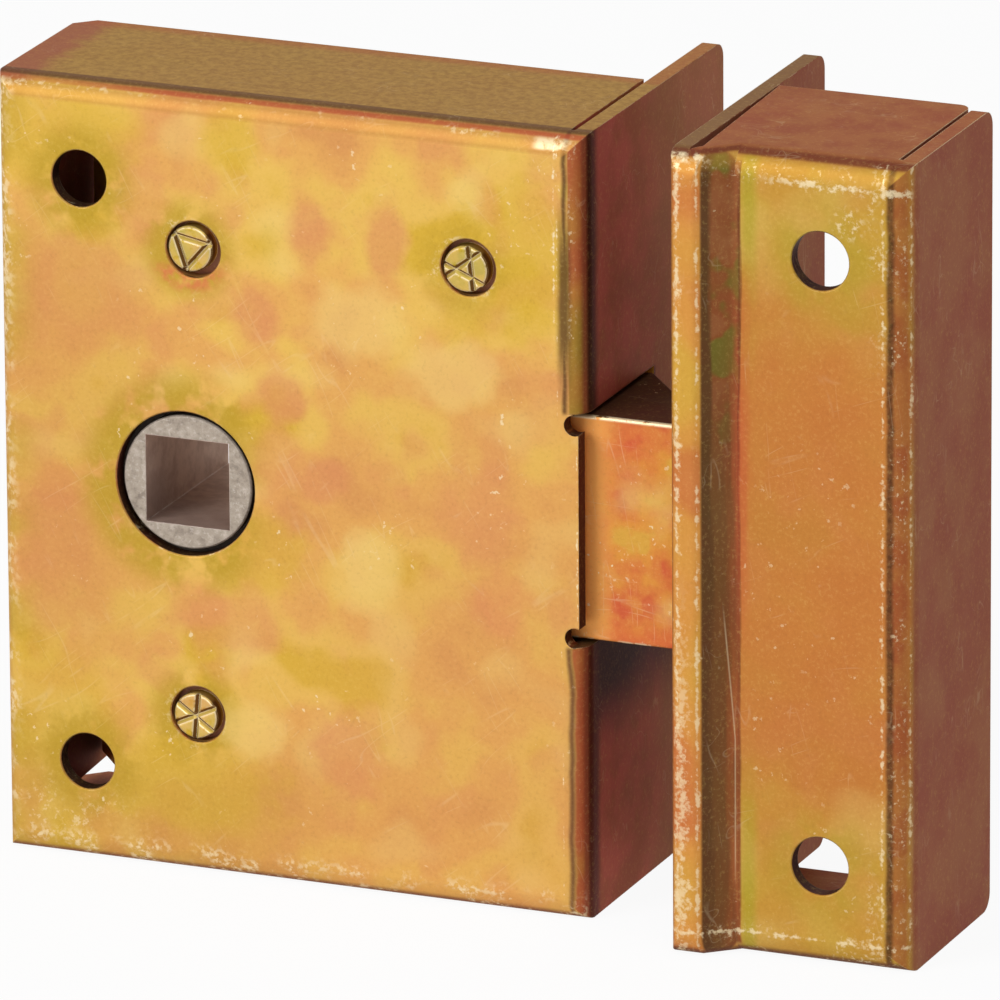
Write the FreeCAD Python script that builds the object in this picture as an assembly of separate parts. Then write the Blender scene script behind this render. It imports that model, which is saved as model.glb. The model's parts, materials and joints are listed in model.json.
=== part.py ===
import FreeCAD, Part
import math
import os

Vector = FreeCAD.Vector

# Rim latch with its keeper, in millimetres. The sizes are written from the lower left corner
# of the case's front face: X to the right, Y from the front to the door, Z up.
# The finished pieces are moved so that the origin is under the middle of the whole part.

# Folded sheet of the case
SHEET = 1.5
CASE_WIDTH = 56.0
CASE_HEIGHT = 72.0
CASE_DEPTH = 19.0
FOREND_DEPTH = 33.0
CASE_BEND = 2.0
FLAP_GAP = 0.45
FLAP_GAP_BACK = 1.5
FLAP_CORNER = 1.7
FOREND_CORNER = 1.5
EDGE_BREAK = 0.2
RIM_BREAK = 0.1

# Opening for the latch, cut through the bend between the front and the forend
OPENING_HEIGHT = 21.4
OPENING_PAST_LATCH = 0.6
TAB_SHORT = 0.55
RELIEF_RADIUS = 0.95
RELIEF_INSET = 0.95

# Back cover and the pillars that hold it. Each stake has the turn of its first groove, the
# grooves' distance from the middle, and the direction that its hole lies off to
COVER_PLAY = 0.25
COVER_CORNER = 2.2
PILLAR_RADIUS = 3.5
PILLAR_PAST_HUB = 0.6
PILLAR_RISE = 21.6
CORNER_PILLAR_INSET = 11.2
CORNER_PILLAR_DROP = 13.2
STAKE_RADIUS = 2.1
STAKE_HOLE_RADIUS = 2.6
STAKE_HOLE_OFF = 0.44
STAKE_SINK = 0.2
STAKE_GROOVE = 0.7
STAKE_GROOVE_DEPTH = 0.4
STAKE_CHAMFER = 0.2
LOWER_LEFT_STAKE = (25.0, 0.1, 40.0)
UPPER_LEFT_STAKE = (-11.0, 0.9, 10.0)
UPPER_RIGHT_STAKE = (37.0, 0.5, 35.0)
SCREW_RADIUS = 1.75
SCREW_HEAD_RADIUS = 3.1
SCREW_LENGTH = 8.0
SCREW_SLOT = 0.9
SCREW_SLOT_DEPTH = 0.7
THREAD_PLAY = 0.05
TAPPED_DEPTH = 10.0

# Holes for fixing the case to the door
FIXING_X = 8.15
FIXING_SPACING = 54.0
FIXING_RADIUS = 2.6
EDGE_SCREW_Y = 26.0
EDGE_SCREW_SPACING = 48.0
EDGE_SCREW_RADIUS = 2.25
EDGE_SINK_RADIUS = 3.6

# Follower, the hub that the square spindle turns
SPINDLE = 8.0
BACKSET = 38.0
HUB_RAISE = 0.2
HUB_FACE_RADIUS = 6.15
HUB_FRONT_PLAY = 0.5
HUB_SINK = 0.5
HUB_BODY_RADIUS = 7.5
HUB_REAR_RADIUS = 6.0
HUB_REAR_PLAY = 0.05
HUB_REAR_SHORT = 0.3
HUB_SIDE_PLAY = 0.3
HUB_CHAMFER = 0.15
WASHER_THICK = 0.6
WASHER_RADIUS = 7.6
WASHER_PLAY = 0.1
ARM_REACH = 15.0
ARM_WIDTH = 5.0
ARM_FRONT = 5.0
ARM_FORK_GAP = 1.0

# Latch bolt, bevelled on its door side
LATCH_THROW = 10.5
LATCH_HEIGHT = 20.6
LATCH_COVER_GAP = 1.8
LATCH_INSIDE = 12.0
LATCH_FRONT_GAP = 0.6
LATCH_BELOW = 0.3
LATCH_NOSE = 1.2
LATCH_BEVEL_START = 0.4
LATCH_EDGE = 0.3

# Fork that joins the latch bolt to the follower's arms
FORK_THICK = 2.5
FORK_COVER_GAP = 4.0
FORK_PLAY = 0.05
FORK_NECK = 9.0
FORK_ROOT = 4.5
FORK_ARM_GAP = 0.5
FORK_HUB_GAP = 1.1
PRONG_HEIGHT = 3.9
EAR_TOP = 17.0
NECK_INSET = 1.0
LATCH_RIVET_RADIUS = 1.5
LATCH_RIVET_RISE = 6.5
LATCH_RIVET_INSET = 5.0
RIVET_PLAY = 0.03

# Spring, its bracket and its guide pin
SPRING_RADIUS = 3.0
SPRING_WIRE = 0.8
SPRING_TURNS = 11
SPRING_Y = 6.3
SPRING_END_PLAY = 0.05
BORE_PLAY = 0.3
BORE_DEPTH = 10.0
BRACKET_PAST_HUB = 1.5
BRACKET_SHEET = 1.5
BRACKET_TAB_HEIGHT = 7.6
BRACKET_FRONT = 3.0
BRACKET_FOOT = 6.5
BRACKET_FOOT_HEIGHT = 16.0
BRACKET_RIVET_RADIUS = 1.25
BRACKET_RIVET_HEAD = 2.2
BRACKET_RIVET_HEAD_THICK = 0.9
BRACKET_RIVET_RISE = 5.5
BRACKET_RIVET_INSET = 4.0
PIN_RADIUS = 1.9
PIN_LENGTH = 7.5
PIN_NECK_RADIUS = 1.4

# Keeper, the folded box on the door frame, set where the latch bolt just enters it
KEEPER_GAP = 10.0
KEEPER_FORWARD = 3.0
KEEPER_WIDTH = 21.5
KEEPER_HEIGHT = 73.4
KEEPER_DEPTH = 20.0
KEEPER_PLATE_DEPTH = 31.2
KEEPER_BEND = 2.3
KEEPER_SIDE_BEND = 2.4
KEEPER_CORNER = 1.2
LIP_WIDTH = 2.6
LIP_DEPTH = 2.4
RAMP_WIDTH = 2.7
LIP_BEND = 1.1
WEDGE_FRONT = 0.9
WEDGE_BACK = 0.12
KEEPER_SIDE_SLIT = 0.4
KEEPER_FLAP_CORNER = 1.2
KEEPER_WALL_CORNER = 1.6
MOUTH_HEIGHT = 25.0
MOUTH_MARGIN = 0.9
KEEPER_FIXING_X = 13.2
KEEPER_FIXING_SPACING = 55.0
KEEPER_FIXING_RADIUS = 2.65
KEEPER_EDGE_SCREW_Y = 23.5
KEEPER_EDGE_SCREW_SPACING = 49.0

# A cutter runs this far past the face that it cuts, and edges nearer than NEAR are the same
PAST = 1.0
NEAR = 1e-6

# The stakes in the order of the pillars
STAKES = (LOWER_LEFT_STAKE, UPPER_LEFT_STAKE, UPPER_RIGHT_STAKE)

# Places that follow from the sizes
COVER_INNER = CASE_DEPTH - SHEET
FOREND_INNER = CASE_WIDTH - SHEET
HUB_X = CASE_WIDTH - BACKSET
HUB_Z = CASE_HEIGHT / 2 + HUB_RAISE
OPENING_BASE = CASE_HEIGHT / 2 - OPENING_HEIGHT / 2
OPENING_TOP = OPENING_BASE + OPENING_HEIGHT
LATCH_FRONT = SHEET + LATCH_FRONT_GAP
LATCH_BACK = COVER_INNER - LATCH_COVER_GAP
OPENING_DEPTH = LATCH_BACK + OPENING_PAST_LATCH
LATCH_BASE = OPENING_BASE + LATCH_BELOW
LATCH_TOP = LATCH_BASE + LATCH_HEIGHT
LATCH_MIDDLE = LATCH_BASE + LATCH_HEIGHT / 2
LATCH_REAR = CASE_WIDTH - LATCH_INSIDE
LATCH_TIP = CASE_WIDTH + LATCH_THROW
HUB_SHOULDER = SHEET + HUB_SIDE_PLAY
HUB_BODY_END = COVER_INNER - WASHER_THICK - 2 * WASHER_PLAY
HUB_HOLE_RADIUS = HUB_FACE_RADIUS + HUB_FRONT_PLAY
FORK_FRONT = COVER_INNER - FORK_COVER_GAP - FORK_THICK
ARM_BACK = FORK_FRONT - ARM_FORK_GAP
BRACKET_X = HUB_X + HUB_BODY_RADIUS + BRACKET_PAST_HUB
EAR_RIGHT = HUB_X - ARM_WIDTH / 2 - FORK_ARM_GAP
EAR_LEFT = EAR_RIGHT - FORK_THICK
PRONG_INNER = HUB_BODY_RADIUS + FORK_HUB_GAP
BRACKET_RIGHT = BRACKET_X + BRACKET_SHEET
FOOT_FRONT = COVER_INNER - BRACKET_SHEET
KEEPER_X = CASE_WIDTH + KEEPER_GAP
KEEPER_FACE = -KEEPER_FORWARD
LIP_FACE = KEEPER_FACE - LIP_DEPTH
KEEPER_BACK = KEEPER_FACE + KEEPER_DEPTH
KEEPER_PLATE_BACK = KEEPER_FACE + KEEPER_PLATE_DEPTH
KEEPER_RIGHT = KEEPER_X + KEEPER_WIDTH
ORIGIN = Vector(
    KEEPER_RIGHT / 2,
    (min(0.0, LIP_FACE) + max(FOREND_DEPTH, KEEPER_PLATE_BACK)) / 2,
    0.0,
)


def box(x0, x1, y0, y1, z0, z1):
    """A block between two corners."""
    return Part.makeBox(x1 - x0, y1 - y0, z1 - z0, Vector(x0, y0, z0))


def rod_x(x0, x1, y, z, radius):
    """A round bar along X."""
    return Part.makeCylinder(radius, x1 - x0, Vector(x0, y, z), Vector(1, 0, 0))


def rod_y(y0, y1, x, z, radius):
    """A round bar along Y."""
    return Part.makeCylinder(radius, y1 - y0, Vector(x, y0, z), Vector(0, 1, 0))


def cone_y(y0, y1, x, z, radius0, radius1):
    """A cone along Y, with one radius at each end."""
    return Part.makeCone(radius0, radius1, y1 - y0, Vector(x, y0, z), Vector(0, 1, 0))


def prism_z(points, z0, z1):
    """A flat outline of X and Y points, raised from z0 to z1."""
    corners = [Vector(x, y, z0) for x, y in points]
    outline = Part.makePolygon(corners + corners[:1])
    return Part.Face(outline).extrude(Vector(0, 0, z1 - z0))


def upright_edges(shape, places):
    """The straight vertical edges of a shape that stand at the given X and Y places."""
    found = []
    for edge in shape.Edges:
        span = edge.BoundBox
        if span.ZLength < PAST or span.XLength > NEAR or span.YLength > NEAR:
            continue
        for x, y in places:
            if abs(span.XMin - x) < NEAR and abs(span.YMin - y) < NEAR:
                found.append(edge)
    return found


def bend_waste(start, run, radius, z_face, up):
    """What a bend of this radius leaves out of a square front edge, along one straight strip.

    start is the X and Y of the strip's first end on the front face, run its length in X and Y,
    z_face the height of the flap's outer face, and up is 1 for a top flap and -1 for a bottom one.
    """
    x, y = start
    past = PAST * up
    low = z_face - radius * up
    middle = Vector(x, y + radius * (1 - math.sqrt(0.5)), z_face - radius * (1 - math.sqrt(0.5)) * up)
    arc = Part.Arc(Vector(x, y, low), middle, Vector(x, y + radius, z_face)).toShape()
    above = Vector(x, y + radius, z_face + past)
    corner = Vector(x, y - PAST, z_face + past)
    below = Vector(x, y - PAST, low)
    sides = [
        arc,
        Part.makeLine(Vector(x, y + radius, z_face), above),
        Part.makeLine(above, corner),
        Part.makeLine(corner, below),
        Part.makeLine(below, Vector(x, y, low)),
    ]
    return Part.Face(Part.Wire(sides)).extrude(Vector(run[0], run[1], 0))


def bent_box(outline, bends, strips, radius, z0, z1):
    """A block over an outline in X and Y, its upright edges and its front edges rounded.

    bends is a list of a radius with the X and Y places of the upright edges that have it.
    strips are the straight runs of the front face, from left to right.
    """
    block = prism_z(outline, z0, z1)
    for bend, places in bends:
        block = block.makeFillet(bend, upright_edges(block, places))
    for start, run in strips:
        block = block.cut(bend_waste(start, run, radius, z1, 1))
        block = block.cut(bend_waste(start, run, radius, z0, -1))
    return block


def sunk_hole_x(x_face, into, y, z, radius, sink_radius):
    """A cutter for a countersunk hole along X: x_face is the sunk face, into the way inward."""
    depth = sink_radius - radius
    start = Vector(x_face - into * PAST, y, z)
    along = Vector(into, 0, 0)
    hole = Part.makeCylinder(radius, SHEET + 2 * PAST, start, along)
    sink = Part.makeCone(sink_radius + PAST, radius, depth + PAST, start, along)
    return hole.fuse(sink)


def case_shell():
    """Front, top, bottom and left flap and the long forend, folded from one sheet."""
    outer = bent_box(
        [(0, 0), (CASE_WIDTH, 0), (CASE_WIDTH, CASE_DEPTH), (0, CASE_DEPTH)],
        [(CASE_BEND, [(0, 0), (CASE_WIDTH, 0)])],
        [((0, 0), (CASE_WIDTH, 0))],
        CASE_BEND,
        0,
        CASE_HEIGHT,
    )
    inner = bent_box(
        [
            (SHEET, SHEET),
            (FOREND_INNER, SHEET),
            (FOREND_INNER, CASE_DEPTH + PAST),
            (SHEET, CASE_DEPTH + PAST),
        ],
        [(CASE_BEND - SHEET, [(SHEET, SHEET), (FOREND_INNER, SHEET)])],
        [((SHEET, SHEET), (FOREND_INNER - SHEET, 0))],
        CASE_BEND - SHEET,
        SHEET,
        CASE_HEIGHT - SHEET,
    )
    forend = box(FOREND_INNER, CASE_WIDTH, CASE_DEPTH, FOREND_DEPTH, 0, CASE_HEIGHT)
    back_corners = [
        edge
        for edge in forend.Edges
        if edge.BoundBox.YMin > FOREND_DEPTH - PAST and edge.BoundBox.ZLength < PAST
    ]
    forend = forend.makeFillet(FOREND_CORNER, back_corners)
    shell = outer.cut(inner).fuse(forend).removeSplitter()
    shell = shell.cut(flap_slits())
    shell = shell.cut(latch_opening())
    shell = shell.fuse(opening_tab()).removeSplitter()
    shell = shell.cut(relief_holes())
    for (x, z), (_, _, way) in zip(pillar_places(), STAKES):
        hole_x = x + STAKE_HOLE_OFF * math.cos(math.radians(way))
        hole_z = z + STAKE_HOLE_OFF * math.sin(math.radians(way))
        shell = shell.cut(rod_y(-PAST, SHEET + PAST, hole_x, hole_z, STAKE_HOLE_RADIUS))
        shell = shell.cut(rim_break(hole_x, hole_z, STAKE_HOLE_RADIUS, 0))
    for z in pair_heights(HUB_Z, FIXING_SPACING):
        shell = shell.cut(rod_y(-PAST, SHEET + PAST, FIXING_X, z, FIXING_RADIUS))
        shell = shell.cut(rim_break(FIXING_X, z, FIXING_RADIUS, 0))
    shell = shell.cut(rod_y(-PAST, SHEET + PAST, HUB_X, HUB_Z, HUB_HOLE_RADIUS))
    shell = shell.cut(rim_break(HUB_X, HUB_Z, HUB_HOLE_RADIUS, 0))
    for z in pair_heights(CASE_HEIGHT / 2, EDGE_SCREW_SPACING):
        shell = shell.cut(
            sunk_hole_x(CASE_WIDTH, -1, EDGE_SCREW_Y, z, EDGE_SCREW_RADIUS, EDGE_SINK_RADIUS)
        )
    return shell


def flap_slits():
    """The slits where a flap's end meets the next flap, and the cut-off back corners."""
    cutters = []
    for low, high, inner, way in (
        (CASE_HEIGHT - SHEET, CASE_HEIGHT + PAST, CASE_HEIGHT - SHEET, -1),
        (-PAST, SHEET, SHEET, 1),
    ):
        cutters.append(box(FOREND_INNER - FLAP_GAP, FOREND_INNER, CASE_BEND, CASE_DEPTH + PAST, low, high))
        wedge = [
            (CASE_BEND, inner),
            (CASE_DEPTH + PAST, inner),
            (CASE_DEPTH + PAST, inner + way * FLAP_GAP_BACK),
            (CASE_BEND, inner + way * FLAP_GAP),
        ]
        corners = [Vector(-PAST, y, z) for y, z in wedge]
        side = Part.Face(Part.makePolygon(corners + corners[:1]))
        cutters.append(side.extrude(Vector(PAST + SHEET, 0, 0)))
        cutters.append(
            prism_z(
                [
                    (-PAST, CASE_DEPTH - FLAP_CORNER - PAST),
                    (FLAP_CORNER + PAST, CASE_DEPTH + PAST),
                    (-PAST, CASE_DEPTH + PAST),
                ],
                low,
                high,
            )
        )
    return cutters


def latch_opening():
    """The cut through the bend and the forend that the latch bolt slides in."""
    return box(
        FOREND_INNER - CASE_BEND,
        CASE_WIDTH + PAST,
        -PAST,
        OPENING_DEPTH,
        OPENING_BASE,
        OPENING_TOP,
    )


def opening_tab():
    """The front sheet that stays flat beside the opening, where the bend is cut away."""
    return box(
        FOREND_INNER - CASE_BEND - PAST,
        CASE_WIDTH - TAB_SHORT,
        0,
        SHEET,
        OPENING_BASE,
        OPENING_TOP,
    )


def relief_holes():
    """Round holes punched at the opening's two front corners before the sheet was folded."""
    x = CASE_WIDTH - RELIEF_INSET
    places = (OPENING_BASE + RELIEF_RADIUS, OPENING_TOP - RELIEF_RADIUS)
    cutters = [rod_y(-PAST, SHEET + PAST, x, z, RELIEF_RADIUS) for z in places]
    cutters.append(box(x, CASE_WIDTH, -PAST, SHEET + PAST, OPENING_BASE, places[0]))
    cutters.append(box(x, CASE_WIDTH, -PAST, SHEET + PAST, places[1], OPENING_TOP))
    return cutters


def rim_break(x, z, radius, y_face):
    """A cutter for the narrow bevel round a hole in a front face."""
    return cone_y(y_face - RIM_BREAK, y_face + RIM_BREAK, x, z, radius + 2 * RIM_BREAK, radius)


def pair_heights(middle, spacing):
    """Heights of two holes, spaced about a middle height."""
    return (middle - spacing / 2, middle + spacing / 2)


def pillar_places():
    """X and Z of the pillars: below and above the hub, and near the top right corner."""
    x = HUB_X + PILLAR_PAST_HUB
    return (
        (x, HUB_Z - PILLAR_RISE),
        (x, HUB_Z + PILLAR_RISE),
        (CASE_WIDTH - CORNER_PILLAR_INSET, CASE_HEIGHT - CORNER_PILLAR_DROP),
    )


def back_cover():
    """The flat plate between the flaps that closes the case towards the door."""
    left = SHEET + COVER_PLAY
    right = FOREND_INNER - COVER_PLAY
    cover = box(left, right, COVER_INNER, CASE_DEPTH, left, CASE_HEIGHT - left)
    corners = [edge for edge in cover.Edges if edge.BoundBox.YLength > SHEET - NEAR]
    cover = cover.makeChamfer(COVER_CORNER, [edge for edge in corners if edge.BoundBox.XMax < HUB_X])
    for x, z in pillar_places():
        cover = cover.cut(screw_body(x, z, THREAD_PLAY))
    for z in pair_heights(HUB_Z, FIXING_SPACING):
        cover = cover.cut(rod_y(COVER_INNER - PAST, CASE_DEPTH + PAST, FIXING_X, z, FIXING_RADIUS))
    for z in bracket_rivet_heights():
        x = BRACKET_X + BRACKET_RIVET_INSET
        cover = cover.cut(
            rod_y(COVER_INNER - PAST, CASE_DEPTH + PAST, x, z, BRACKET_RIVET_RADIUS + RIVET_PLAY)
        )
    bearing = HUB_REAR_RADIUS + HUB_REAR_PLAY
    return cover.cut(rod_y(COVER_INNER - PAST, CASE_DEPTH + PAST, HUB_X, HUB_Z, bearing))


def screw_body(x, z, play):
    """A countersunk screw, or with some play the hole that it sits in."""
    head = SCREW_HEAD_RADIUS - SCREW_RADIUS
    shank = rod_y(CASE_DEPTH - SCREW_LENGTH, CASE_DEPTH, x, z, SCREW_RADIUS + play)
    return shank.fuse(
        cone_y(CASE_DEPTH - head, CASE_DEPTH, x, z, SCREW_RADIUS + play, SCREW_HEAD_RADIUS + play)
    )


def cover_screw(x, z):
    """One cover screw with a crossed slot in its head."""
    screw = screw_body(x, z, 0).removeSplitter()
    reach = SCREW_RADIUS
    half = SCREW_SLOT / 2
    bottom = CASE_DEPTH - SCREW_SLOT_DEPTH
    top = CASE_DEPTH + PAST
    screw = screw.cut(box(x - reach, x + reach, bottom, top, z - half, z + half))
    return screw.cut(box(x - half, x + half, bottom, top, z - reach, z + reach))


def stake_groove(x, z, spread, angle):
    """A V-shaped chisel mark across a stake's end, turned by an angle about the stake's axis."""
    bottom = STAKE_SINK + STAKE_GROOVE_DEPTH
    flare = STAKE_GROOVE / 2 * (bottom + PAST) / STAKE_GROOVE_DEPTH
    section = ((-PAST, -flare), (bottom, 0), (-PAST, flare))
    corners = [Vector(x - 2 * STAKE_RADIUS, y, z + spread + rise) for y, rise in section]
    face = Part.Face(Part.makePolygon(corners + corners[:1]))
    groove = face.extrude(Vector(4 * STAKE_RADIUS, 0, 0))
    groove.rotate(Vector(x, 0, z), Vector(0, -1, 0), angle)
    return groove


def pillar(place, stake):
    """A pillar staked into the front plate, with three chisel marks on the stake, tapped behind."""
    x, z = place
    turn, spread, _ = stake
    body = rod_y(SHEET, COVER_INNER, x, z, PILLAR_RADIUS)
    body = body.fuse(rod_y(STAKE_SINK, SHEET, x, z, STAKE_RADIUS)).removeSplitter()
    face = [edge for edge in body.Edges if edge.BoundBox.YMax < STAKE_SINK + NEAR]
    body = body.makeChamfer(STAKE_CHAMFER, face)
    for angle in (turn, turn + 120, turn + 240):
        body = body.cut(stake_groove(x, z, spread, angle))
    return body.cut(
        rod_y(COVER_INNER - TAPPED_DEPTH, COVER_INNER + PAST, x, z, SCREW_RADIUS + THREAD_PLAY)
    )


def follower():
    """The hub with its square hole, its two journals and one arm up and one arm down."""
    hub = rod_y(HUB_SINK, HUB_SHOULDER, HUB_X, HUB_Z, HUB_FACE_RADIUS)
    front_edge = [edge for edge in hub.Edges if edge.BoundBox.YMax < HUB_SINK + NEAR]
    hub = hub.makeChamfer(HUB_CHAMFER, front_edge)
    hub = hub.fuse(rod_y(HUB_SHOULDER, HUB_BODY_END, HUB_X, HUB_Z, HUB_BODY_RADIUS))
    hub = hub.fuse(rod_y(HUB_BODY_END, CASE_DEPTH - HUB_REAR_SHORT, HUB_X, HUB_Z, HUB_REAR_RADIUS))
    half = ARM_WIDTH / 2
    hub = hub.fuse(
        box(HUB_X - half, HUB_X + half, ARM_FRONT, ARM_BACK, HUB_Z - ARM_REACH, HUB_Z + ARM_REACH)
    )
    for way in (-1, 1):
        hub = hub.fuse(rod_y(ARM_FRONT, ARM_BACK, HUB_X, HUB_Z + way * ARM_REACH, half))
    hub = hub.removeSplitter()
    side = SPINDLE / 2
    return hub.cut(
        box(HUB_X - side, HUB_X + side, -PAST, CASE_DEPTH + PAST, HUB_Z - side, HUB_Z + side)
    )


def follower_washer():
    """The flat washer between the follower and the back cover."""
    front = HUB_BODY_END + WASHER_PLAY
    ring = rod_y(front, front + WASHER_THICK, HUB_X, HUB_Z, WASHER_RADIUS)
    return ring.cut(rod_y(-PAST, CASE_DEPTH, HUB_X, HUB_Z, HUB_REAR_RADIUS + WASHER_PLAY))


def latch_rivet_heights():
    """Heights of the two rivets that hold the fork in the latch bolt."""
    return (LATCH_MIDDLE - LATCH_RIVET_RISE, LATCH_MIDDLE + LATCH_RIVET_RISE)


def latch_bolt():
    """The bolt's head: flat in front, bevelled behind, slotted for the fork, bored for the spring."""
    outline = [
        (LATCH_REAR, LATCH_FRONT),
        (LATCH_TIP, LATCH_FRONT),
        (LATCH_TIP, LATCH_FRONT + LATCH_NOSE),
        (CASE_WIDTH + LATCH_BEVEL_START, LATCH_BACK),
        (LATCH_REAR, LATCH_BACK),
    ]
    head = prism_z(outline, LATCH_BASE, LATCH_TOP)
    nose = [(LATCH_TIP, LATCH_FRONT), (LATCH_TIP, LATCH_FRONT + LATCH_NOSE)]
    head = head.makeFillet(LATCH_EDGE, upright_edges(head, nose))
    rims = [
        edge
        for edge in head.Edges
        if edge.BoundBox.YMax < LATCH_FRONT + NEAR and edge.BoundBox.XLength > PAST
    ]
    head = head.makeFillet(LATCH_EDGE, rims)
    slot_end = LATCH_REAR + FORK_NECK + FORK_PLAY
    head = head.cut(
        box(
            LATCH_REAR - PAST,
            slot_end,
            FORK_FRONT - FORK_PLAY,
            FORK_FRONT + FORK_THICK + FORK_PLAY,
            LATCH_BASE - PAST,
            LATCH_TOP + PAST,
        )
    )
    bore = SPRING_RADIUS + BORE_PLAY
    head = head.cut(rod_x(LATCH_REAR - PAST, LATCH_REAR + BORE_DEPTH, SPRING_Y, LATCH_MIDDLE, bore))
    for z in latch_rivet_heights():
        x = LATCH_REAR + LATCH_RIVET_INSET
        head = head.cut(
            rod_y(LATCH_FRONT - PAST, LATCH_BACK + PAST, x, z, LATCH_RIVET_RADIUS + RIVET_PLAY)
        )
    return head


def latch_fork():
    """The sheet fork that straddles the hub; each prong ends in an ear folded to meet an arm."""
    back = FORK_FRONT + FORK_THICK
    root = LATCH_REAR - FORK_ROOT
    outer = PRONG_INNER + PRONG_HEIGHT
    fork = box(root, LATCH_REAR, FORK_FRONT, back, HUB_Z - outer, HUB_Z + outer)
    fork = fork.fuse(
        box(
            LATCH_REAR,
            LATCH_REAR + FORK_NECK,
            FORK_FRONT,
            back,
            LATCH_BASE + NECK_INSET,
            LATCH_TOP - NECK_INSET,
        )
    )
    for way in (-1, 1):
        inner_edge, outer_edge = sorted((HUB_Z + way * PRONG_INNER, HUB_Z + way * outer))
        fork = fork.fuse(box(EAR_LEFT, root, FORK_FRONT, back, inner_edge, outer_edge))
        ear_low, ear_high = sorted((HUB_Z + way * PRONG_INNER, HUB_Z + way * EAR_TOP))
        fork = fork.fuse(box(EAR_LEFT, EAR_RIGHT, ARM_FRONT, back, ear_low, ear_high))
    fork = fork.removeSplitter()
    for z in latch_rivet_heights():
        x = LATCH_REAR + LATCH_RIVET_INSET
        fork = fork.cut(rod_y(FORK_FRONT - PAST, back + PAST, x, z, LATCH_RIVET_RADIUS + RIVET_PLAY))
    return fork


def latch_rivet(z):
    """One of the rivets through the bolt's head and the fork's neck, dressed flush."""
    x = LATCH_REAR + LATCH_RIVET_INSET
    return rod_y(LATCH_FRONT + EDGE_BREAK, LATCH_BACK - EDGE_BREAK, x, z, LATCH_RIVET_RADIUS)


def latch_spring():
    """The compression spring between the bracket and the bottom of the bolt's bore."""
    start = BRACKET_RIGHT + SPRING_END_PLAY + SPRING_WIRE / 2
    end = LATCH_REAR + BORE_DEPTH - SPRING_END_PLAY - SPRING_WIRE / 2
    middle_radius = SPRING_RADIUS - SPRING_WIRE / 2
    pitch = (end - start) / SPRING_TURNS
    gap = pitch * math.cos(math.atan(pitch / (2 * math.pi * middle_radius))) - SPRING_WIRE
    print("spring: least gap between turns %.2f mm" % gap)
    helix = Part.makeHelix(pitch, end - start, middle_radius)
    wire_end = Part.makeCircle(SPRING_WIRE / 2, Vector(middle_radius, 0, 0), Vector(0, 1, 0))
    coil = Part.Wire(helix.Edges).makePipeShell([Part.Wire([wire_end])], True, True)
    coil.rotate(Vector(0, 0, 0), Vector(0, 1, 0), 90)
    coil.translate(Vector(start, SPRING_Y, LATCH_MIDDLE))
    return coil


def bracket_rivet_heights():
    """Heights of the two rivets that hold the spring bracket on the cover."""
    return (LATCH_MIDDLE - BRACKET_RIVET_RISE, LATCH_MIDDLE + BRACKET_RIVET_RISE)


def spring_bracket():
    """The angle on the cover's inner face that the spring pushes against."""
    half = BRACKET_TAB_HEIGHT / 2
    foot_half = BRACKET_FOOT_HEIGHT / 2
    bracket = box(
        BRACKET_X, BRACKET_RIGHT, BRACKET_FRONT, COVER_INNER, LATCH_MIDDLE - half, LATCH_MIDDLE + half
    )
    bracket = bracket.fuse(
        box(
            BRACKET_X,
            BRACKET_X + BRACKET_FOOT,
            FOOT_FRONT,
            COVER_INNER,
            LATCH_MIDDLE - foot_half,
            LATCH_MIDDLE + foot_half,
        )
    ).removeSplitter()
    for z in bracket_rivet_heights():
        x = BRACKET_X + BRACKET_RIVET_INSET
        bracket = bracket.cut(
            rod_y(FOOT_FRONT - PAST, COVER_INNER + PAST, x, z, BRACKET_RIVET_RADIUS + RIVET_PLAY)
        )
    hole = PIN_NECK_RADIUS + RIVET_PLAY
    return bracket.cut(rod_x(BRACKET_X - PAST, BRACKET_RIGHT + PAST, SPRING_Y, LATCH_MIDDLE, hole))


def bracket_rivet(z):
    """A rivet with a low round head inside the case, dressed flush with the cover outside."""
    x = BRACKET_X + BRACKET_RIVET_INSET
    shank = rod_y(FOOT_FRONT, CASE_DEPTH - EDGE_BREAK, x, z, BRACKET_RIVET_RADIUS)
    head = rod_y(FOOT_FRONT - BRACKET_RIVET_HEAD_THICK, FOOT_FRONT, x, z, BRACKET_RIVET_HEAD)
    rim = [edge for edge in head.Edges if edge.BoundBox.YMax < FOOT_FRONT - EDGE_BREAK]
    head = head.makeFillet(BRACKET_RIVET_HEAD_THICK / 2, rim)
    return shank.fuse(head).removeSplitter()


def spring_pin():
    """The pin inside the spring, its neck riveted in the bracket."""
    pin = rod_x(BRACKET_RIGHT, BRACKET_RIGHT + PIN_LENGTH, SPRING_Y, LATCH_MIDDLE, PIN_RADIUS)
    neck = rod_x(BRACKET_X, BRACKET_RIGHT, SPRING_Y, LATCH_MIDDLE, PIN_NECK_RADIUS)
    tip = [edge for edge in pin.Edges if edge.BoundBox.XMin > BRACKET_RIGHT + PIN_LENGTH - NEAR]
    return pin.makeChamfer(EDGE_BREAK, tip).fuse(neck).removeSplitter()


def keeper_outline(inset, back):
    """The keeper's outline seen from above, drawn in by a thickness: lip, ramp, face, right wall."""
    turn = math.atan2(LIP_DEPTH, RAMP_WIDTH)
    slip = inset * math.tan(turn / 2)
    lip_end = KEEPER_X + LIP_WIDTH
    ramp_end = lip_end + RAMP_WIDTH
    return [
        (KEEPER_X + inset, LIP_FACE + inset),
        (lip_end - slip, LIP_FACE + inset),
        (ramp_end - slip, KEEPER_FACE + inset),
        (KEEPER_RIGHT - inset, KEEPER_FACE + inset),
        (KEEPER_RIGHT - inset, back),
        (KEEPER_X + inset, back),
    ]


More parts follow.
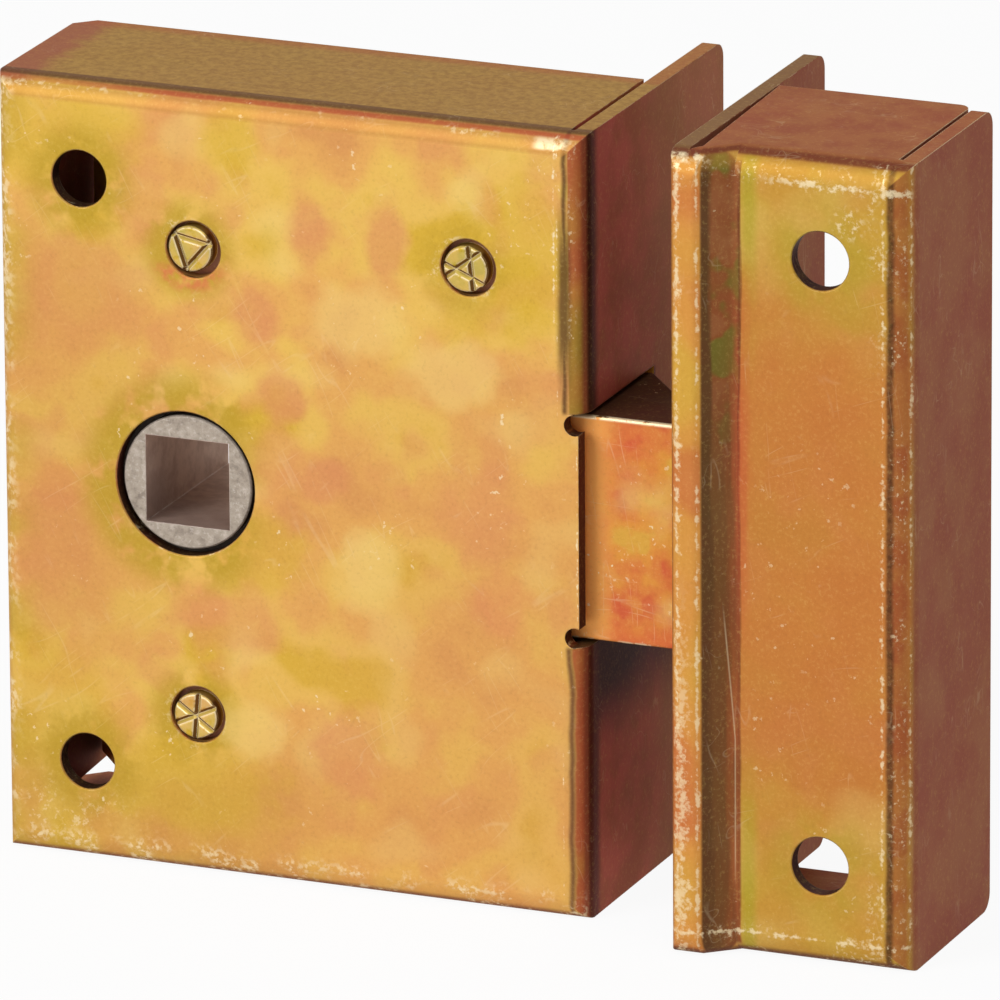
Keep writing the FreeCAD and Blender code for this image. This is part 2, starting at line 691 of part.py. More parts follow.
def keeper_block(inset, back, bends):
    """The keeper's outer or inner form, bent over at the top and the bottom."""
    outline = keeper_outline(inset, back)
    strips = []
    for first, second in zip(outline[:3], outline[1:4]):
        strips.append((first, (second[0] - first[0], second[1] - first[1])))
    named = [(radius, [outline[index]]) for radius, index in bends]
    return bent_box(outline, named, strips, KEEPER_BEND - inset, inset, KEEPER_HEIGHT - inset)


def keeper():
    """The keeper: lip, ramp, face, side wall and flaps, with a long plate along the frame's edge."""
    outer = keeper_block(
        0, KEEPER_BACK, [(KEEPER_CORNER, 0), (LIP_BEND, 1), (LIP_BEND, 2), (KEEPER_SIDE_BEND, 3)]
    )
    inner = keeper_block(SHEET, KEEPER_BACK + PAST, [(KEEPER_SIDE_BEND - SHEET, 3)])
    plate = box(KEEPER_X, KEEPER_X + SHEET, KEEPER_BACK, KEEPER_PLATE_BACK, 0, KEEPER_HEIGHT)
    back_corners = [
        edge
        for edge in plate.Edges
        if edge.BoundBox.YMin > KEEPER_PLATE_BACK - PAST and edge.BoundBox.ZLength < PAST
    ]
    plate = plate.makeFillet(FOREND_CORNER, back_corners)
    shell = outer.cut(inner).fuse(plate).removeSplitter()
    shell = shell.cut(keeper_slits())
    shell = shell.cut(keeper_mouth())
    shell = shell.makeFillet(KEEPER_FLAP_CORNER, keeper_flap_corners(shell))
    shell = shell.makeFillet(KEEPER_WALL_CORNER, keeper_wall_corners(shell))
    fixing_x = KEEPER_X + KEEPER_FIXING_X
    for z in pair_heights(KEEPER_HEIGHT / 2, KEEPER_FIXING_SPACING):
        shell = shell.cut(
            rod_y(KEEPER_FACE - PAST, KEEPER_FACE + SHEET + PAST, fixing_x, z, KEEPER_FIXING_RADIUS)
        )
        shell = shell.cut(rim_break(fixing_x, z, KEEPER_FIXING_RADIUS, KEEPER_FACE))
    for z in pair_heights(KEEPER_HEIGHT / 2, KEEPER_EDGE_SCREW_SPACING):
        shell = shell.cut(
            sunk_hole_x(KEEPER_X, 1, KEEPER_EDGE_SCREW_Y, z, EDGE_SCREW_RADIUS, EDGE_SINK_RADIUS)
        )
    return shell


def keeper_slits():
    """The wedge between each flap and the plate, the slit at the right wall and the cut corners."""
    cutters = []
    left = KEEPER_X + SHEET
    right = KEEPER_RIGHT - SHEET
    front = LIP_FACE + SHEET
    for low, high in ((KEEPER_HEIGHT - SHEET, KEEPER_HEIGHT + PAST), (-PAST, SHEET)):
        cutters.append(
            prism_z(
                [
                    (left, front),
                    (left + WEDGE_FRONT, front + WEDGE_FRONT),
                    (left + WEDGE_BACK, KEEPER_BACK + PAST),
                    (left, KEEPER_BACK + PAST),
                ],
                low,
                high,
            )
        )
        cutters.append(
            box(right - KEEPER_SIDE_SLIT, right, KEEPER_FACE + KEEPER_BEND, KEEPER_BACK + PAST, low, high)
        )
    return cutters


def keeper_flap_corners(shell):
    """The upright corner edges at the back of the two flaps, beside the right wall."""
    x = KEEPER_RIGHT - SHEET - KEEPER_SIDE_SLIT
    return upright_edges(shell, [(x, KEEPER_BACK)])


def keeper_wall_corners(shell):
    """The right wall's back corner edges, one at the top and one at the bottom."""
    found = []
    for edge in shell.Edges:
        span = edge.BoundBox
        across = span.XMin > KEEPER_RIGHT - SHEET - NEAR and span.XLength > SHEET - 2 * NEAR
        if across and span.YMin > KEEPER_BACK - NEAR and span.ZLength < NEAR:
            found.append(edge)
    return found


def keeper_mouth():
    """The opening in the plate that the latch bolt goes into."""
    return box(
        KEEPER_X - PAST,
        KEEPER_X + SHEET + PAST,
        LATCH_FRONT - MOUTH_MARGIN,
        LATCH_BACK + MOUTH_MARGIN,
        LATCH_MIDDLE - MOUTH_HEIGHT / 2,
        LATCH_MIDDLE + MOUTH_HEIGHT / 2,
    )


def main():
    low_pillar, high_pillar, corner_pillar = pillar_places()
    low_rivet, high_rivet = latch_rivet_heights()
    low_bracket_rivet, high_bracket_rivet = bracket_rivet_heights()
    pieces = {
        "case_shell": case_shell(),
        "back_cover": back_cover(),
        "pillar_lower_left": pillar(low_pillar, LOWER_LEFT_STAKE),
        "pillar_upper_left": pillar(high_pillar, UPPER_LEFT_STAKE),
        "pillar_upper_right": pillar(corner_pillar, UPPER_RIGHT_STAKE),
        "cover_screw_lower_left": cover_screw(*low_pillar),
        "cover_screw_upper_left": cover_screw(*high_pillar),
        "cover_screw_upper_right": cover_screw(*corner_pillar),
        "follower": follower(),
        "follower_washer": follower_washer(),
        "latch_bolt": latch_bolt(),
        "latch_fork": latch_fork(),
        "latch_rivet_lower": latch_rivet(low_rivet),
        "latch_rivet_upper": latch_rivet(high_rivet),
        "latch_spring": latch_spring(),
        "spring_bracket": spring_bracket(),
        "bracket_rivet_lower": bracket_rivet(low_bracket_rivet),
        "bracket_rivet_upper": bracket_rivet(high_bracket_rivet),
        "spring_pin": spring_pin(),
        "keeper": keeper(),
    }
    os.makedirs("parts", exist_ok=True)
    for name, shape in pieces.items():
        shape.translate(-ORIGIN)
        shape.exportStep("parts/%s.step" % name)
        print(name, len(shape.Solids), shape.isValid(), round(shape.Volume, 1))


main()
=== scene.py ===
import json
import math

import bpy
from mathutils import Matrix, Vector


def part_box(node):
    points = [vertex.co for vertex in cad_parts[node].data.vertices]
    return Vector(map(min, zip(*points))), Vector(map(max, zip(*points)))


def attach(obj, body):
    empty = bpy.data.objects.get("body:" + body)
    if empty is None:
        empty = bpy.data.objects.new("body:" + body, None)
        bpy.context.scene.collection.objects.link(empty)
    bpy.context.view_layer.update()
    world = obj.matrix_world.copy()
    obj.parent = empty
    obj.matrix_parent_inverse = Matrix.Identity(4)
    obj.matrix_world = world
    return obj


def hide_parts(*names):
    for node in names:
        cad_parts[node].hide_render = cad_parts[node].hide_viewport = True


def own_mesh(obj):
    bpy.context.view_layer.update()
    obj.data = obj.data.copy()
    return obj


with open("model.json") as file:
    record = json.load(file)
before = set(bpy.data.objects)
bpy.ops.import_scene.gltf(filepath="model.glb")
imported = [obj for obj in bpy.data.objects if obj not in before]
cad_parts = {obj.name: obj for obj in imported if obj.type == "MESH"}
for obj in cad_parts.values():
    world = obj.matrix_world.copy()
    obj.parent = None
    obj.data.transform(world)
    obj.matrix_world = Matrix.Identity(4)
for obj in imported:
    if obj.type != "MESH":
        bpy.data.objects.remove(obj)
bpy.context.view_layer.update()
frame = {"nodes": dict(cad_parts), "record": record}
nodes = frame["nodes"]

# Materials work in millimetres from the lower left corner of the case's front face, so that a
# place on the case reads as it would on a drawing: X to the right, Y to the door, Z up.
case_low, case_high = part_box("case_shell")
keeper_low, keeper_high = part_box("keeper")
CORNER = -case_low * 1000
CASE_DEPTH = 19.0
CASE = Vector((case_high.x * 1000 + CORNER.x, CASE_DEPTH, case_high.z * 1000))
KEEPER_LEFT, KEEPER_LIP = (keeper_low * 1000 + CORNER)[:2]
KEEPER_RIGHT = keeper_high.x * 1000 + CORNER.x
KEEPER_TOP = keeper_high.z * 1000
# The keeper's face lies this far behind the front of its lip
LIP_RAISE = 2.4
KEEPER_FACE = KEEPER_LIP + LIP_RAISE
# Heights between which the forend is cut out for the bolt
OPENING_LOW, OPENING_HIGH = 25.3, 46.7
# Edges are shaded as if rounded by this much
ROUNDING = 0.16
# The hub's hole in the front sheet, how far a stake's hole reaches from the stake's middle, and
# half the width of the spindle's square
HUB_HOLE_RADIUS = 6.65
STAKE_HOLE_REACH = 3.1
HALF_SQUARE = 4.0
# A scratch lies where its noise is this close to the middle; the noise is drawn out this much
SCRATCH_WIDTH = 0.012
SCRATCH_LENGTH = 9.0


def shade(red, green, blue):
    """A colour as it looks on screen, 0 to 255, as the linear colour that a shader takes."""
    def linear(level):
        level /= 255
        return level / 12.92 if level <= 0.04045 else ((level + 0.055) / 1.055) ** 2.4
    return (linear(red), linear(green), linear(blue), 1.0)


def centre(node):
    """Middle of a CAD node, in the materials' millimetres."""
    low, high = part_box(node)
    return (low + high) * 500 + CORNER


# Tone of what the film mirrors at a flat angle
SHEEN = shade(206, 150, 112)


class Paint:
    """A material being made: its nodes, its shader, and the place on the part in millimetres.

    A mask is 1 where something applies and 0 elsewhere. A shift is a noise's seed: it only moves
    the noise, so that no two look alike. A scale is in cells per millimetre.
    """

    def __init__(self, name, metallic):
        self.material = bpy.data.materials.new(name)
        self.material.use_nodes = True
        self.tree = self.material.node_tree
        self.shader = self.tree.nodes["Principled BSDF"]
        self.shader.inputs["Metallic"].default_value = metallic
        self.shader.inputs["Specular IOR Level"].default_value = 0.2
        self.shader.inputs["Specular Tint"].default_value = SHEEN
        coordinates = self.tree.nodes.new("ShaderNodeTexCoord")
        self.place = self.moved(coordinates.outputs["Object"], CORNER, (1000.0,) * 3)
        self.x, self.y, self.z = self.node("SeparateXYZ", {0: self.place}).outputs
        self.facing = coordinates.outputs["Normal"]
        self.toward_x, self.toward_y, self.toward_z = self.node("SeparateXYZ", {0: self.facing}).outputs
        self.heights = []
        self.fields = {}
        self.rounded = self.node("Bevel", {"Radius": ROUNDING / 1000}, samples=4).outputs[0]

    def node(self, kind, inputs, **settings):
        made = self.tree.nodes.new("ShaderNode" + kind)
        for key, value in settings.items():
            setattr(made, key, value)
        for key, value in inputs.items():
            if isinstance(value, bpy.types.NodeSocket):
                self.tree.links.new(value, made.inputs[key])
            else:
                made.inputs[key].default_value = value
        return made

    def math(self, operation, *values):
        made = self.node("Math", dict(enumerate(values)), operation=operation)
        return made.outputs[0]

    def vector(self, operation, *values):
        made = self.node("VectorMath", dict(enumerate(values)), operation=operation)
        return made.outputs[1 if operation in ("DISTANCE", "DOT_PRODUCT") else 0]

    def step(self, value, low, high):
        """0 up to low, 1 from high on, smooth between; high may be the lower one."""
        inputs = {"Value": value, "From Min": low, "From Max": high}
        return self.node("MapRange", inputs, interpolation_type="SMOOTHSTEP").outputs[0]

    def moved(self, place, by, scale=(1.0, 1.0, 1.0)):
        return self.node("Mapping", {"Vector": place, "Location": by, "Scale": scale}).outputs[0]

    def noise(self, scale, detail=2.0, roughness=0.5, shift=0.0, place=None, stretch=(1.0, 1.0, 1.0)):
        where = self.moved(place or self.place, (shift, shift * 0.7, -shift * 1.3), stretch)
        inputs = {"Vector": where, "Scale": scale, "Detail": detail, "Roughness": roughness}
        return self.node("TexNoise", inputs).outputs[0]

    def field(self, scale, detail, shift):
        """A noise that several masks share, as they lie in different places."""
        key = (scale, detail, shift)
        if key not in self.fields:
            self.fields[key] = self.noise(scale, detail, 0.6, shift)
        return self.fields[key]

    def mix(self, factor, first, second, blend="MIX"):
        made = self.node("Mix", {0: factor, 6: first, 7: second}, data_type="RGBA", blend_type=blend)
        return made.outputs[2]

    def ramp(self, value, stops):
        made = self.node("ValToRGB", {0: value})
        band = made.color_ramp
        band.interpolation = "EASE"
        for index, (position, colour) in enumerate(stops):
            stop = band.elements[index] if index < 2 else band.elements.new(position)
            stop.position = position
            stop.color = colour
        return made.outputs[0]

    def tint(self, colour, mask, amount, target):
        """Moves a colour towards a target where the mask is 1, by an amount of 0 to 1."""
        return self.mix(self.math("MULTIPLY", mask, amount), colour, target)

    def band(self, value, low, high, soft):
        """1 from low to high, 0 beyond, with soft ends of this half width."""
        rise = self.step(value, low - soft, low + soft)
        return self.both(rise, self.step(value, high + soft, high - soft))

    def patches(self, mask, scale, low, high, shift):
        """Breaks a mask up into patches."""
        return self.both(mask, self.step(self.noise(scale, 3.0, 0.6, shift), low, high))

    def worn_line(self, value, place, width, bare, shift):
        """A ragged line where a value passes a place, thinning out to both sides; bare is 0 to 1."""
        away = self.both(self.math("ABSOLUTE", self.math("SUBTRACT", value, place)), 0.36 / width)
        fine = self.math("SUBTRACT", self.field(1.7, 4.0, shift), away)
        level = self.math("ADD", fine, self.both(self.field(0.3, 2.0, shift), 0.5))
        return self.step(level, 0.82 - bare * 0.2, 1.0 - bare * 0.2)

    def chips(self, mask, shift, low=0.54, high=0.68, scale=2.4, strength=0.6):
        """Small bright chips in loose groups where the mask is 1."""
        group = self.step(self.field(0.3, 2.0, shift), 0.42, 0.6)
        return self.both(mask, group, self.step(self.field(scale, 3.0, shift), low, high), strength)

    def opposite(self, mask):
        return self.math("SUBTRACT", 1.0, mask)

    def both(self, *values):
        """The product of several masks."""
        result = values[0]
        for value in values[1:]:
            result = self.math("MULTIPLY", result, value)
        return result

    def either(self, *values):
        """The largest of several masks."""
        result = values[0]
        for value in values[1:]:
            result = self.math("MAXIMUM", result, value)
        return result

    def around(self, x, z, inner, outer):
        """1 within inner of an axis along Y, 0 beyond outer."""
        flat = self.vector("MULTIPLY", self.place, (1.0, 0.0, 1.0))
        return self.step(self.vector("DISTANCE", flat, (x, 0.0, z)), outer, inner)

    def blotches(self, patches, shift):
        """Soft oval patches on the front face, each half as wide and as high as given."""
        nearest = None
        for x, z, wide, high in patches:
            flat = self.vector("MULTIPLY", self.place, (1 / wide, 0.0, 1 / high))
            distance = self.vector("DISTANCE", flat, (x / wide, 0.0, z / high))
            nearest = distance if nearest is None else self.math("MINIMUM", nearest, distance)
        return self.step(self.math("ADD", nearest, self.noise(0.35, 2.0, 0.5, shift)), 1.75, 1.05)

    def along_x(self, y, z, near, far):
        """1 within near of a line along X, 0 beyond far."""
        flat = self.vector("MULTIPLY", self.place, (0.0, 1.0, 1.0))
        return self.step(self.vector("DISTANCE", flat, (0.0, y, z)), far, near)

    def scratches(self, turn, density, shift):
        """Thin curved scratches that run roughly one way on the front face."""
        turned = self.node("Mapping", {"Vector": self.place, "Rotation": (0.0, turn, 0.0)})
        stretch = (1.0, 1.0, 1.0 / SCRATCH_LENGTH)
        field = self.noise(density, 1.0, 0.5, shift, turned.outputs[0], stretch)
        line = self.step(self.math("ABSOLUTE", self.math("SUBTRACT", field, 0.5)), SCRATCH_WIDTH, 0.0)
        return self.both(line, self.step(self.field(0.22, 2.0, 17.0), 0.52, 0.66))

    def crossed(self, first, second, strength):
        """Two sets of scratches, each given by its turn, density and seed."""
        return self.both(self.either(self.scratches(*first), self.scratches(*second)), strength)

    def wander(self, scale, shift, amount):
        """Drifts slowly to both sides of 0, by up to half the amount."""
        field = self.noise(scale, 2.0, 0.5, shift)
        return self.both(self.math("SUBTRACT", field, 0.5), amount)

    def speckles(self, scale, low, high, shift):
        """Small bright points, scattered."""
        return self.step(self.noise(scale, 2.0, 0.6, shift), low, high)

    def edges(self, low=0.03, high=0.2):
        """1 on every sharp edge."""
        plain = self.node("NewGeometry", {}).outputs["Normal"]
        along = self.vector("DOT_PRODUCT", self.rounded, plain)
        return self.step(self.math("SUBTRACT", 1.0, along), low, high)

    def raise_by(self, height, amount):
        """Adds to the surface's relief: amount in millimetres where the height is 1."""
        self.heights.append(self.math("MULTIPLY", height, amount))

    def finish(self, colour, roughness):
        total = self.heights[0]
        for height in self.heights[1:]:
            total = self.math("ADD", total, height)
        bump = self.node("Bump", {"Height": total, "Distance": 0.001, "Normal": self.rounded})
        for name, value in (("Base Color", colour), ("Roughness", roughness), ("Normal", bump.outputs[0])):
            self.tree.links.new(value, self.shader.inputs[name])
        return self.material


GOLD = shade(226, 184, 92)
ORANGE = shade(222, 166, 92)
ROSE = shade(214, 142, 94)
STRAW = shade(234, 202, 122)
LIME = shade(186, 152, 48)
YELLOW = shade(212, 172, 62)
OLIVE = shade(148, 118, 58)
RUST = shade(170, 92, 56)
BROWN = shade(92, 62, 40)
MAROON = shade(182, 86, 80)
PLUM = shade(150, 104, 94)
# near black used for painted shade
PAINTED_SHADE = shade(44, 24, 22)
BARE_AND_HIGHLIGHT = shade(244, 226, 184)


def plating(name, palette, clouds=0.075, shift=0.0):
    """Yellow chromated zinc: a cloudy film whose colour drifts with its thickness."""
    paint = Paint(name, 0.4)
    wide = paint.noise(clouds, 1.0, 0.4, shift)
    small = paint.noise(clouds * 2.4, 2.0, 0.45, shift + 31.0)
    drift = paint.math("ADD", paint.both(wide, 0.55), paint.both(small, 0.45))
    colour = paint.ramp(drift, palette)
    blush = paint.step(paint.noise(0.2, 1.0, 0.4, shift + 53.0), 0.56, 0.7)
    colour = paint.tint(colour, blush, 0.4, ROSE)
    light = paint.step(paint.noise(0.13, 1.0, 0.4, shift + 67.0), 0.56, 0.72)
    colour = paint.tint(colour, light, 0.5, STRAW)
    paint.raise_by(paint.noise(0.06, 1.0, 0.4, shift + 3.0), 0.35)
    return paint, colour


def grained(paint, colour, shift):
    """The film's fine grain, the same on every face."""
    grain = paint.noise(2.8, 4.0, 0.75, shift + 7.0)
    colour = paint.mix(paint.both(paint.step(grain, 0.5, 0.72), 0.16), colour, STRAW)
    colour = paint.mix(paint.both(paint.step(grain, 0.5, 0.25), 0.14), colour, shade(120, 66, 40))
    paint.raise_by(grain, 0.014)
    return colour, grain


def nicks(paint, shift):
    """Small bright marks, in loose groups."""
    group = paint.step(paint.noise(0.14, 2.0, 0.6, shift), 0.5, 0.66)
    return paint.both(paint.speckles(1.5, 0.66, 0.72, shift + 13.0), group)


def worn(paint, colour, roughness, wear, amount=0.85):
    """Rubs the film away where wear is 1; on the keeper the mask also holds painted highlights."""
    colour = paint.tint(colour, wear, amount, BARE_AND_HIGHLIGHT)
    return colour, paint.math("SUBTRACT", roughness, paint.both(wear, 0.1))


def fixing_places(mount):
    """X and Z of a mount's two holes, one above the other, in the materials' millimetres."""
    middle = Vector(mount["pos_m"]) * 1000 + CORNER
    half = mount["dims"]["spacing_y_mm"] / 2
    return ((middle.x, middle.z - half), (middle.x, middle.z + half))


MOUNTS = {mount["name"]: mount for mount in frame["record"]["mounts"]}
PILLARS = ("pillar_lower_left", "pillar_upper_left", "pillar_upper_right")

CASE_PALETTE = [
    (0.36, YELLOW),
    (0.45, GOLD),
    (0.55, ORANGE),
    (0.66, shade(212, 150, 88)),
]

# Soft patches on the case's front, each with its X, Z, half width and half height
ROSE_PATCHES = (
    (30.0, 60.7, 2.0, 3.4),
    (37.3, 60.5, 2.2, 3.6),
    (25.0, 52.3, 2.4, 2.6),
    (27.4, 45.2, 2.8, 2.4),
    (31.0, 38.0, 2.6, 2.2),
    (33.5, 13.0, 3.6, 4.6),
)
STRAW_PATCHES = (
    (34.5, 53.0, 4.6, 3.6),
    (44.0, 49.0, 5.0, 3.2),
    (35.6, 30.0, 3.2, 4.0),
    (24.0, 14.0, 3.6, 2.6),
)
YELLOW_PATCHES = (
    (6.0, 66.5, 8.5, 5.5),
    (22.6, 68.0, 3.0, 3.5),
    (51.0, 60.0, 3.5, 8.0),
    (25.0, 30.5, 5.0, 4.0),
    (5.0, 13.0, 7.0, 7.0),
    (18.0, 8.0, 10.0, 4.5),
    (45.0, 58.0, 4.0, 6.0),
)
WARM_PATCHES = (
    (9.0, 53.0, 6.5, 5.5),
    (5.0, 28.0, 4.5, 7.0),
    (22.0, 24.0, 6.0, 3.5),
    (14.0, 62.0, 3.0, 4.0),
    (46.0, 37.0, 4.0, 5.0),
    (26.6, 39.6, 2.8, 3.2),
)
RED_PATCHES = (
    (5.5, 34.5, 2.6, 2.4),
    (19.0, 25.0, 3.0, 2.2),
    (16.0, 21.0, 2.0, 1.6),
    (48.0, 28.5, 3.0, 3.4),
)


def dark_holes(paint, colour, places, radius, start, tone=PAINTED_SHADE):
    """Tints the walls of holes through a front sheet from a depth on; with the default near black this is
    painted shade inside the holes.
    """
    walls = paint.either(*[paint.around(x, z, radius + 0.04, radius + 0.1) for x, z in places])
    return paint.tint(colour, paint.both(walls, paint.step(paint.y, start, start + 0.15)), 0.9, tone)


def case_sheet(paint):
    """1 through the thickness of the case's front sheet, 0 behind it."""
    return paint.step(paint.y, 2.2, 1.9)


def below_opening(paint):
    """1 on the stretch of the case below the bolt's opening."""
    return paint.step(paint.z, 30.0, 22.0)


def case_front(paint, colour, front):
    """The front face: yellow to the left and round the holes, orange and rose to the right."""
    right = paint.both(paint.step(paint.x, 18.0, 46.0), paint.step(paint.z, 62.0, 20.0))
    low = paint.both(paint.step(paint.z, 26.0, 8.0), paint.step(paint.x, 14.0, 30.0))
    colour = paint.tint(colour, paint.both(paint.either(right, low), front), 0.45, shade(212, 152, 86))

    def patched(colour, patches, shift, amount, tone):
        return paint.tint(colour, paint.both(paint.blotches(patches, shift), front), amount, tone)

    colour = patched(colour, YELLOW_PATCHES, 300.0, 0.6, YELLOW)
    halos = []
    for x, z in fixing_places(MOUNTS["case_fixing"]):
        halos.append(paint.around(x, z, 3.0, 6.5))
    for node in PILLARS:
        place = centre(node)
        share = 0.6 if node == "pillar_upper_right" else 1.0
        halos.append(paint.both(paint.around(place.x, place.z, 2.8, 5.6), share))
    hub = centre("follower")
    not_right = paint.step(paint.x, hub.x + 9.0, hub.x + 4.0)
    halos.append(paint.both(paint.around(hub.x, hub.z, 8.0, 11.5), not_right))
    colour = patched(colour, WARM_PATCHES, 600.0, 0.5, ROSE)
    colour = patched(colour, RED_PATCHES, 700.0, 0.35, shade(216, 130, 94))
    shaded = paint.both(paint.step(paint.x, 22.0, 8.0), paint.band(paint.z, 20.0, 58.0, 6.0), front)
    colour = paint.tint(colour, shaded, 0.35, shade(200, 142, 74))
    ragged = paint.patches(paint.either(*halos), 0.24, 0.34, 0.52, 71.0)
    colour = paint.tint(colour, paint.both(ragged, front), 0.85, LIME)
    left = paint.patches(paint.both(paint.step(paint.x, 5.0, 0.5), front), 0.13, 0.4, 0.6, 91.0)
    colour = paint.tint(colour, left, 0.6, LIME)
    colour = patched(colour, ROSE_PATCHES, 400.0, 0.62, ROSE)
    colour = patched(colour, STRAW_PATCHES, 500.0, 0.5, STRAW)
    foot = paint.both(paint.step(paint.z, 15.0, 6.0), paint.step(paint.x, 34.0, 18.0), front)
    colour = paint.tint(colour, foot, 0.4, shade(186, 148, 54))
    # a pink rim under the upper left stake
    stake = centre("pillar_upper_left")
    ring = paint.around(stake.x, stake.z, 3.2, 4.4)
    arc = paint.both(ring, paint.step(paint.z, stake.z - 1.0, stake.z - 2.2), front)
    return paint.tint(colour, paint.patches(arc, 0.5, 0.36, 0.56, 97.0), 0.7, shade(214, 112, 80))


def case_side_bend(paint, colour, beside):
    """The bend from the front to the forend: a dark first line, a ridge, and a dark second line, which is
    painted shade on the forend just behind the bend.
    """
    turned = paint.toward_x
    sheet = case_sheet(paint)
    wobble = paint.wander(0.25, 5.0, 0.5)
    low = below_opening(paint)
    across = paint.math("SUBTRACT", paint.math("ADD", paint.x, wobble), paint.both(low, 0.5))
    narrow = paint.band(across, CASE.x - 2.05, CASE.x - 1.6, 0.22)
    wide = paint.band(across, CASE.x - 2.4, CASE.x - 1.35, 0.35)
    wide = paint.both(wide, paint.band(paint.z, 50.0, 64.0, 4.0))
    crease = paint.both(paint.either(narrow, wide), sheet, beside)
    drift = paint.math("ADD", paint.noise(0.11, 1.0, 0.4, 15.0), paint.both(low, 0.3))
    ridge_tone = paint.ramp(
        drift, [(0.36, shade(158, 130, 50)), (0.48, shade(184, 120, 58)), (0.6, shade(178, 90, 58))]
    )
    start = paint.step(turned, 0.22, 0.34)
    ridge = paint.both(start, paint.step(across, CASE.x - 1.7, CASE.x - 1.4), beside, sheet)
    colour = paint.tint(colour, ridge, 0.9, ridge_tone)
    late = paint.both(paint.step(turned, 0.72, 0.86), beside, sheet)
    colour = paint.tint(colour, late, 0.85, shade(146, 80, 58))
    colour = paint.tint(colour, crease, 0.85, paint.mix(low, shade(84, 56, 38), shade(112, 74, 52)))
    # painted shade on the forend just behind the bend, lighter below the opening
    dark = paint.both(paint.step(turned, 0.88, 0.97), paint.step(paint.y, 3.8, 2.2), beside)
    colour = paint.tint(colour, dark, 0.85, PAINTED_SHADE)
    return paint.tint(colour, paint.both(dark, low), 0.5, shade(110, 52, 42))


def case_rubs(paint, front, beside):
    """Where the case's film is rubbed through."""
    raised = paint.toward_z
    low = below_opening(paint)
    sheet = case_sheet(paint)
    bend = paint.both(paint.band(raised, 0.55, 0.8, 0.06), sheet)
    corner = paint.band(paint.x, CASE.x - 4.6, CASE.x - 1.6, 0.5)
    corner = paint.both(corner, paint.band(raised, 0.3, 0.75, 0.08))
    high = paint.step(paint.z, 48.0, 60.0)
    foot = paint.both(paint.step(paint.x, 18.0, 4.0), paint.step(paint.z, 10.0, 2.0))
    inner = paint.math("ADD", paint.x, paint.both(low, -0.4))
    return [
        paint.chips(bend, 161.0, 0.5, 0.66, 2.0, 0.5),
        paint.both(paint.patches(paint.both(corner, front), 0.9, 0.36, 0.54, 145.0), 0.8),
        paint.both(paint.worn_line(paint.x, CASE.x - 2.8, 0.5, 0.5, 151.0), front, high, beside),
        paint.both(paint.worn_line(inner, CASE.x - 2.5, 0.3, 0.25, 151.0), front, beside),
        paint.chips(paint.both(paint.band(paint.toward_x, 0.3, 0.6, 0.1), high, sheet), 161.0),
        paint.both(paint.worn_line(paint.x, 0.5, 0.7, 0.5, 151.0), front, paint.step(paint.z, 30.0, 46.0)),
        paint.chips(paint.both(paint.step(paint.x, 2.4, 0.4), front), 161.0, 0.44, 0.6, 1.5, 0.85),
        paint.chips(paint.both(paint.step(paint.z, 3.2, 1.6), front), 161.0, 0.46, 0.62, 1.8, 0.8),
        paint.chips(paint.both(foot, front), 161.0, 0.54, 0.68),
        paint.both(paint.worn_line(paint.x, CASE.x - 0.7, 0.25, 0.6, 151.0), front, paint.opposite(beside)),
    ]


